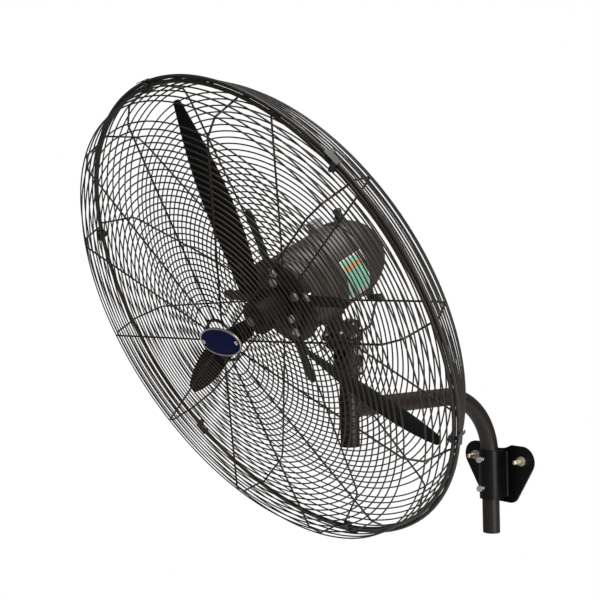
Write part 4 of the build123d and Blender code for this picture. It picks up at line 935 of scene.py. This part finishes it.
class WALLFAN_OT_anchor_threads(bpy.types.Operator):
    """Threaded front ends of the two wall anchors"""
    bl_idname = "wallfan.anchor_threads"
    bl_label = "Anchor threads"

    def execute(self, context):
        low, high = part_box("anchor_studs")
        nut_low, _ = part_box("anchor_nuts")
        start, stop = low.y, nut_low.y + 0.001
        bm = bmesh.new()
        for side in (-1, 1):
            profile = [(0, start)] + thread_profile(ANCHOR_THREAD, start, stop)
            profile += [(ANCHOR_THREAD, stop), (ANCHOR_THREAD, 0), (ANCHOR_SHANK, 0), (ANCHOR_SHANK, 0.004),
                        (ANCHOR_WAIST, 0.004), (ANCHOR_WAIST, high.y - 0.004), (ANCHOR_SHANK, high.y - 0.0001),
                        (0, high.y)]
            place = Matrix.Translation((side * (high.x - ANCHOR_SHANK), 0, 0)) @ TO_REAR
            merge(bm, lathe(profile, 32), place)
        bmesh.ops.recalc_face_normals(bm, faces=bm.faces)
        piece = add_object("anchor_threads", bm, "wall_bracket", "yellow_zinc")
        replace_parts(piece, "anchor_studs")
        return {"FINISHED"}


class WALLFAN_OT_welds(bpy.types.Operator):
    """Weld beads along the clamp's legs and round the arm's end on the neck tube"""
    bl_idname = "wallfan.welds"
    bl_label = "Weld beads"

    def execute(self, context):
        rng = random.Random(7)
        low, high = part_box("u_clamp")
        plate_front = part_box("wall_plate")[0].y
        bm = bmesh.new()
        for side in (-1, 1):
            points = [Vector((side * (high.x + 0.0006), plate_front - 0.0006,
                              low.z + 0.003 + (high.z - low.z - 0.006) * i / CLAMP_WELD_STEPS))
                      for i in range(CLAMP_WELD_STEPS + 1)]
            tube_through(bm, points, WELD_RADIUS, swell=lambda i: 0.85 + 0.18 * sin(i * 1.9) + rng.uniform(-0.06, 0.06))
        add_object("clamp_welds", bm, "wall_bracket", "bracket_paint")

        run_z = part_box("arm_tube")[1].z - ARM_TUBE_RADIUS
        tube = ARM_TUBE_RADIUS
        bm = bmesh.new()
        points = [Vector((1.02 * tube * cos(angle), NECK_AXIS.y + 0.0008 + tube * abs(sin(angle)),
                          run_z + 1.02 * tube * sin(angle))) for angle in angles(NECK_WELD_STEPS)]
        tube_through(bm, points, WELD_RADIUS, closed=True,
                     swell=lambda i: 0.9 + 0.16 * sin(i * 2.1) + rng.uniform(-0.05, 0.05))
        add_object("neck_weld", bm, "arm", "tube_paint")
        return {"FINISHED"}


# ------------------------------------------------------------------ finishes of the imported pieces
class WALLFAN_OT_finishes(bpy.types.Operator):
    """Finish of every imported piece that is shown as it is"""
    bl_idname = "wallfan.finishes"
    bl_label = "Finishes"

    def execute(self, context):
        colours = context.scene.wall_fan_finish
        finishes = {
            "bracket_paint": painted("bracket_paint", colours.bracket, 0.34, gloss=0.25, dust=0.02),
            "zinc": plated("zinc", (0.80, 0.80, 0.78), 0.26, (0.50, 0.50, 0.47)),
            "yellow_zinc": plated("yellow_zinc", (0.58, 0.53, 0.46), 0.30, (0.42, 0.40, 0.30)),
            "tube_paint": painted("tube_paint", colours.tube, 0.34, gloss=0.35, dust=0.32),
            "cast_paint": cast("cast_paint", (0.011, 0.0095, 0.0085)),
            "motor_paint": painted("motor_paint", colours.motor, 0.40, gloss=0.35, dust=0.40),
            "guard_strap": painted("guard_strap", (0.003, 0.0027, 0.0025), 0.42, gloss=0.10, dust=0.02),
            "blade_paint": painted("blade_paint", colours.blade, 0.50, gloss=0.12, dust=0.0),
            "hub_metal": cast("hub_metal", (0.008, 0.008, 0.008)),
            "steel": turned_steel("steel", (0.42, 0.42, 0.43)),
            "lamination": stacked_sheets("lamination", (0.32, 0.32, 0.33)),
            "winding": wound_wire("winding", (0.62, 0.25, 0.10)),
            "gear": turned_steel("gear", (0.72, 0.55, 0.26), 0.28),
            "black_steel": painted("black_steel", (0.014, 0.013, 0.012), 0.42, dust=0.05),
            "block_plastic": moulded("block_plastic", (0.006, 0.006, 0.006), 0.50),
            "box_grey": moulded("box_grey", (0.16, 0.16, 0.165), 0.45),
        }
        for row in frame["record"]["subparts"]:
            finish = finishes.get(row["material_slot"])
            if finish is None:
                continue
            mesh = NODES[row["node"]].data
            mesh.materials.clear()
            mesh.materials.append(finish)
        return {"FINISHED"}


# ------------------------------------------------------------------ stage
# Camera solved from the guard's rim and ribs in the reference view.
CAMERA_PLACE = (1.1762, -1.4029, 0.3069)
CAMERA_RIGHT = (0.61949, 0.78473, -0.02100)
CAMERA_UP = (0.01301, 0.01648, 0.99978)
CAMERA_BACK = (0.78490, -0.61962, 0.0)
CAMERA_FOCAL_PX = 944.86
IMAGE_PX = 600
SENSOR_MM = 36.0
LIGHT_AIM = Vector((0.0, -0.45, 0.2))


class WALLFAN_OT_stage(bpy.types.Operator):
    """Pale floor, soft studio light and the camera"""
    bl_idname = "wallfan.stage"
    bl_label = "Stage"

    def execute(self, context):
        stage = context.scene.wall_fan_stage
        add_camera(context.scene)
        add_floor(stage.floor_drop)
        add_world(context.scene, stage.sky)
        add_light("key", Vector((2.4, -1.9, 2.3)), stage.key_power, 1.6)
        add_light("top", Vector((0.4, -0.2, 2.8)), stage.top_power, 1.8)
        add_light("side", Vector((2.6, -0.2, 0.1)), stage.side_power, 1.4)
        context.scene.view_settings.view_transform = "Standard"
        return {"FINISHED"}


def add_camera(scene):
    data = bpy.data.cameras.new("camera")
    data.sensor_width = SENSOR_MM
    data.lens = CAMERA_FOCAL_PX / IMAGE_PX * SENSOR_MM
    data.clip_start = 0.01
    camera = bpy.data.objects.new("camera", data)
    columns = [Vector(axis).normalized() for axis in (CAMERA_RIGHT, CAMERA_UP, CAMERA_BACK)]
    camera.matrix_world = Matrix.Translation(CAMERA_PLACE) @ Matrix(columns).transposed().to_4x4()
    scene.collection.objects.link(camera)
    scene.camera = camera


def add_floor(height):
    bm = bmesh.new()
    bmesh.ops.create_grid(bm, x_segments=8, y_segments=8, size=12.0)
    mesh = bpy.data.meshes.new("floor")
    bm.to_mesh(mesh)
    bm.free()
    mesh.materials.append(seen_as_white("floor_paint", (0.80, 0.80, 0.80)))
    floor = bpy.data.objects.new("floor", mesh)
    floor.location.z = height
    bpy.context.scene.collection.objects.link(floor)


def seen_as_white(name, colour):
    """Matt floor that camera and glass rays see as plain white."""
    shader = Shader(name)
    shader.set(Base_Color=(*colour, 1.0), Roughness=0.9)
    tree = shader.tree
    paths = tree.nodes.new("ShaderNodeLightPath")
    seen = shader.math("MAXIMUM", paths.outputs["Is Camera Ray"], paths.outputs["Is Transmission Ray"])
    white = shader.node("ShaderNodeEmission", Color=(1, 1, 1, 1), Strength=1.0)
    mix_surface(tree, seen, shader.principled, white, "Material Output")
    return shader.material


def mix_surface(tree, share, first, second, output):
    """Shows a mix of two shader nodes as the surface of an output node."""
    mix = tree.nodes.new("ShaderNodeMixShader")
    for socket, source in zip(mix.inputs, (share, first.outputs[0], second.outputs[0])):
        tree.links.new(source, socket)
    tree.links.new(mix.outputs["Shader"], tree.nodes[output].inputs["Surface"])


def add_world(scene, sky):
    world = bpy.data.worlds.new("studio")
    world.use_nodes = True
    tree = world.node_tree
    light = tree.nodes["Background"]
    light.inputs["Color"].default_value = (sky, sky, sky, 1)
    light.inputs["Strength"].default_value = 1.0
    white = tree.nodes.new("ShaderNodeBackground")
    white.inputs["Color"].default_value = (1, 1, 1, 1)
    paths = tree.nodes.new("ShaderNodeLightPath")
    mix_surface(tree, paths.outputs["Is Camera Ray"], light, white, "World Output")
    scene.world = world


def add_light(name, place, power, size):
    data = bpy.data.lights.new(name, "AREA")
    data.energy = power
    data.size = size
    lamp = bpy.data.objects.new(name, data)
    lamp.location = place
    lamp.rotation_euler = (LIGHT_AIM - place).to_track_quat("-Z", "Y").to_euler()
    bpy.context.scene.collection.objects.link(lamp)


# ------------------------------------------------------------------ add-on
class WALLFAN_PT_panel(bpy.types.Panel):
    """Sizes, colours and build steps of the wall fan"""
    bl_idname = "WALLFAN_PT_panel"
    bl_label = "Wall Fan"
    bl_space_type = "VIEW_3D"
    bl_region_type = "UI"
    bl_category = "Wall Fan"

    def draw(self, context):
        for name in GROUPS:
            group = getattr(context.scene, name)
            box = self.layout.box()
            for key in group.__annotations__:
                box.prop(group, key)
        for operator in OPERATORS:
            self.layout.operator(operator.bl_idname)


GROUPS = {
    "wall_fan_guard": WallFanGuard,
    "wall_fan_finish": WallFanFinish,
    "wall_fan_stage": WallFanStage,
}
OPERATORS = (
    WALLFAN_OT_finishes,
    WALLFAN_OT_front_guard,
    WALLFAN_OT_rear_guard,
    WALLFAN_OT_strap_cross,
    WALLFAN_OT_rim_clamps,
    WALLFAN_OT_motor_dome,
    WALLFAN_OT_oscillating_link,
    WALLFAN_OT_small_box,
    WALLFAN_OT_pedestal,
    WALLFAN_OT_badge,
    WALLFAN_OT_rating_label,
    WALLFAN_OT_anchor_threads,
    WALLFAN_OT_welds,
    WALLFAN_OT_stage,
)


def register():
    for cls in (*GROUPS.values(), *OPERATORS, WALLFAN_PT_panel):
        bpy.utils.register_class(cls)
    for name, group in GROUPS.items():
        setattr(bpy.types.Scene, name, PointerProperty(type=group))


def unregister():
    for name in GROUPS:
        delattr(bpy.types.Scene, name)
    for cls in reversed((*GROUPS.values(), *OPERATORS, WALLFAN_PT_panel)):
        bpy.utils.unregister_class(cls)


def main():
    register()
    for operator in OPERATORS:
        group, name = operator.bl_idname.split(".")
        getattr(getattr(bpy.ops, group), name)()


if __name__ == "__main__":
    main()
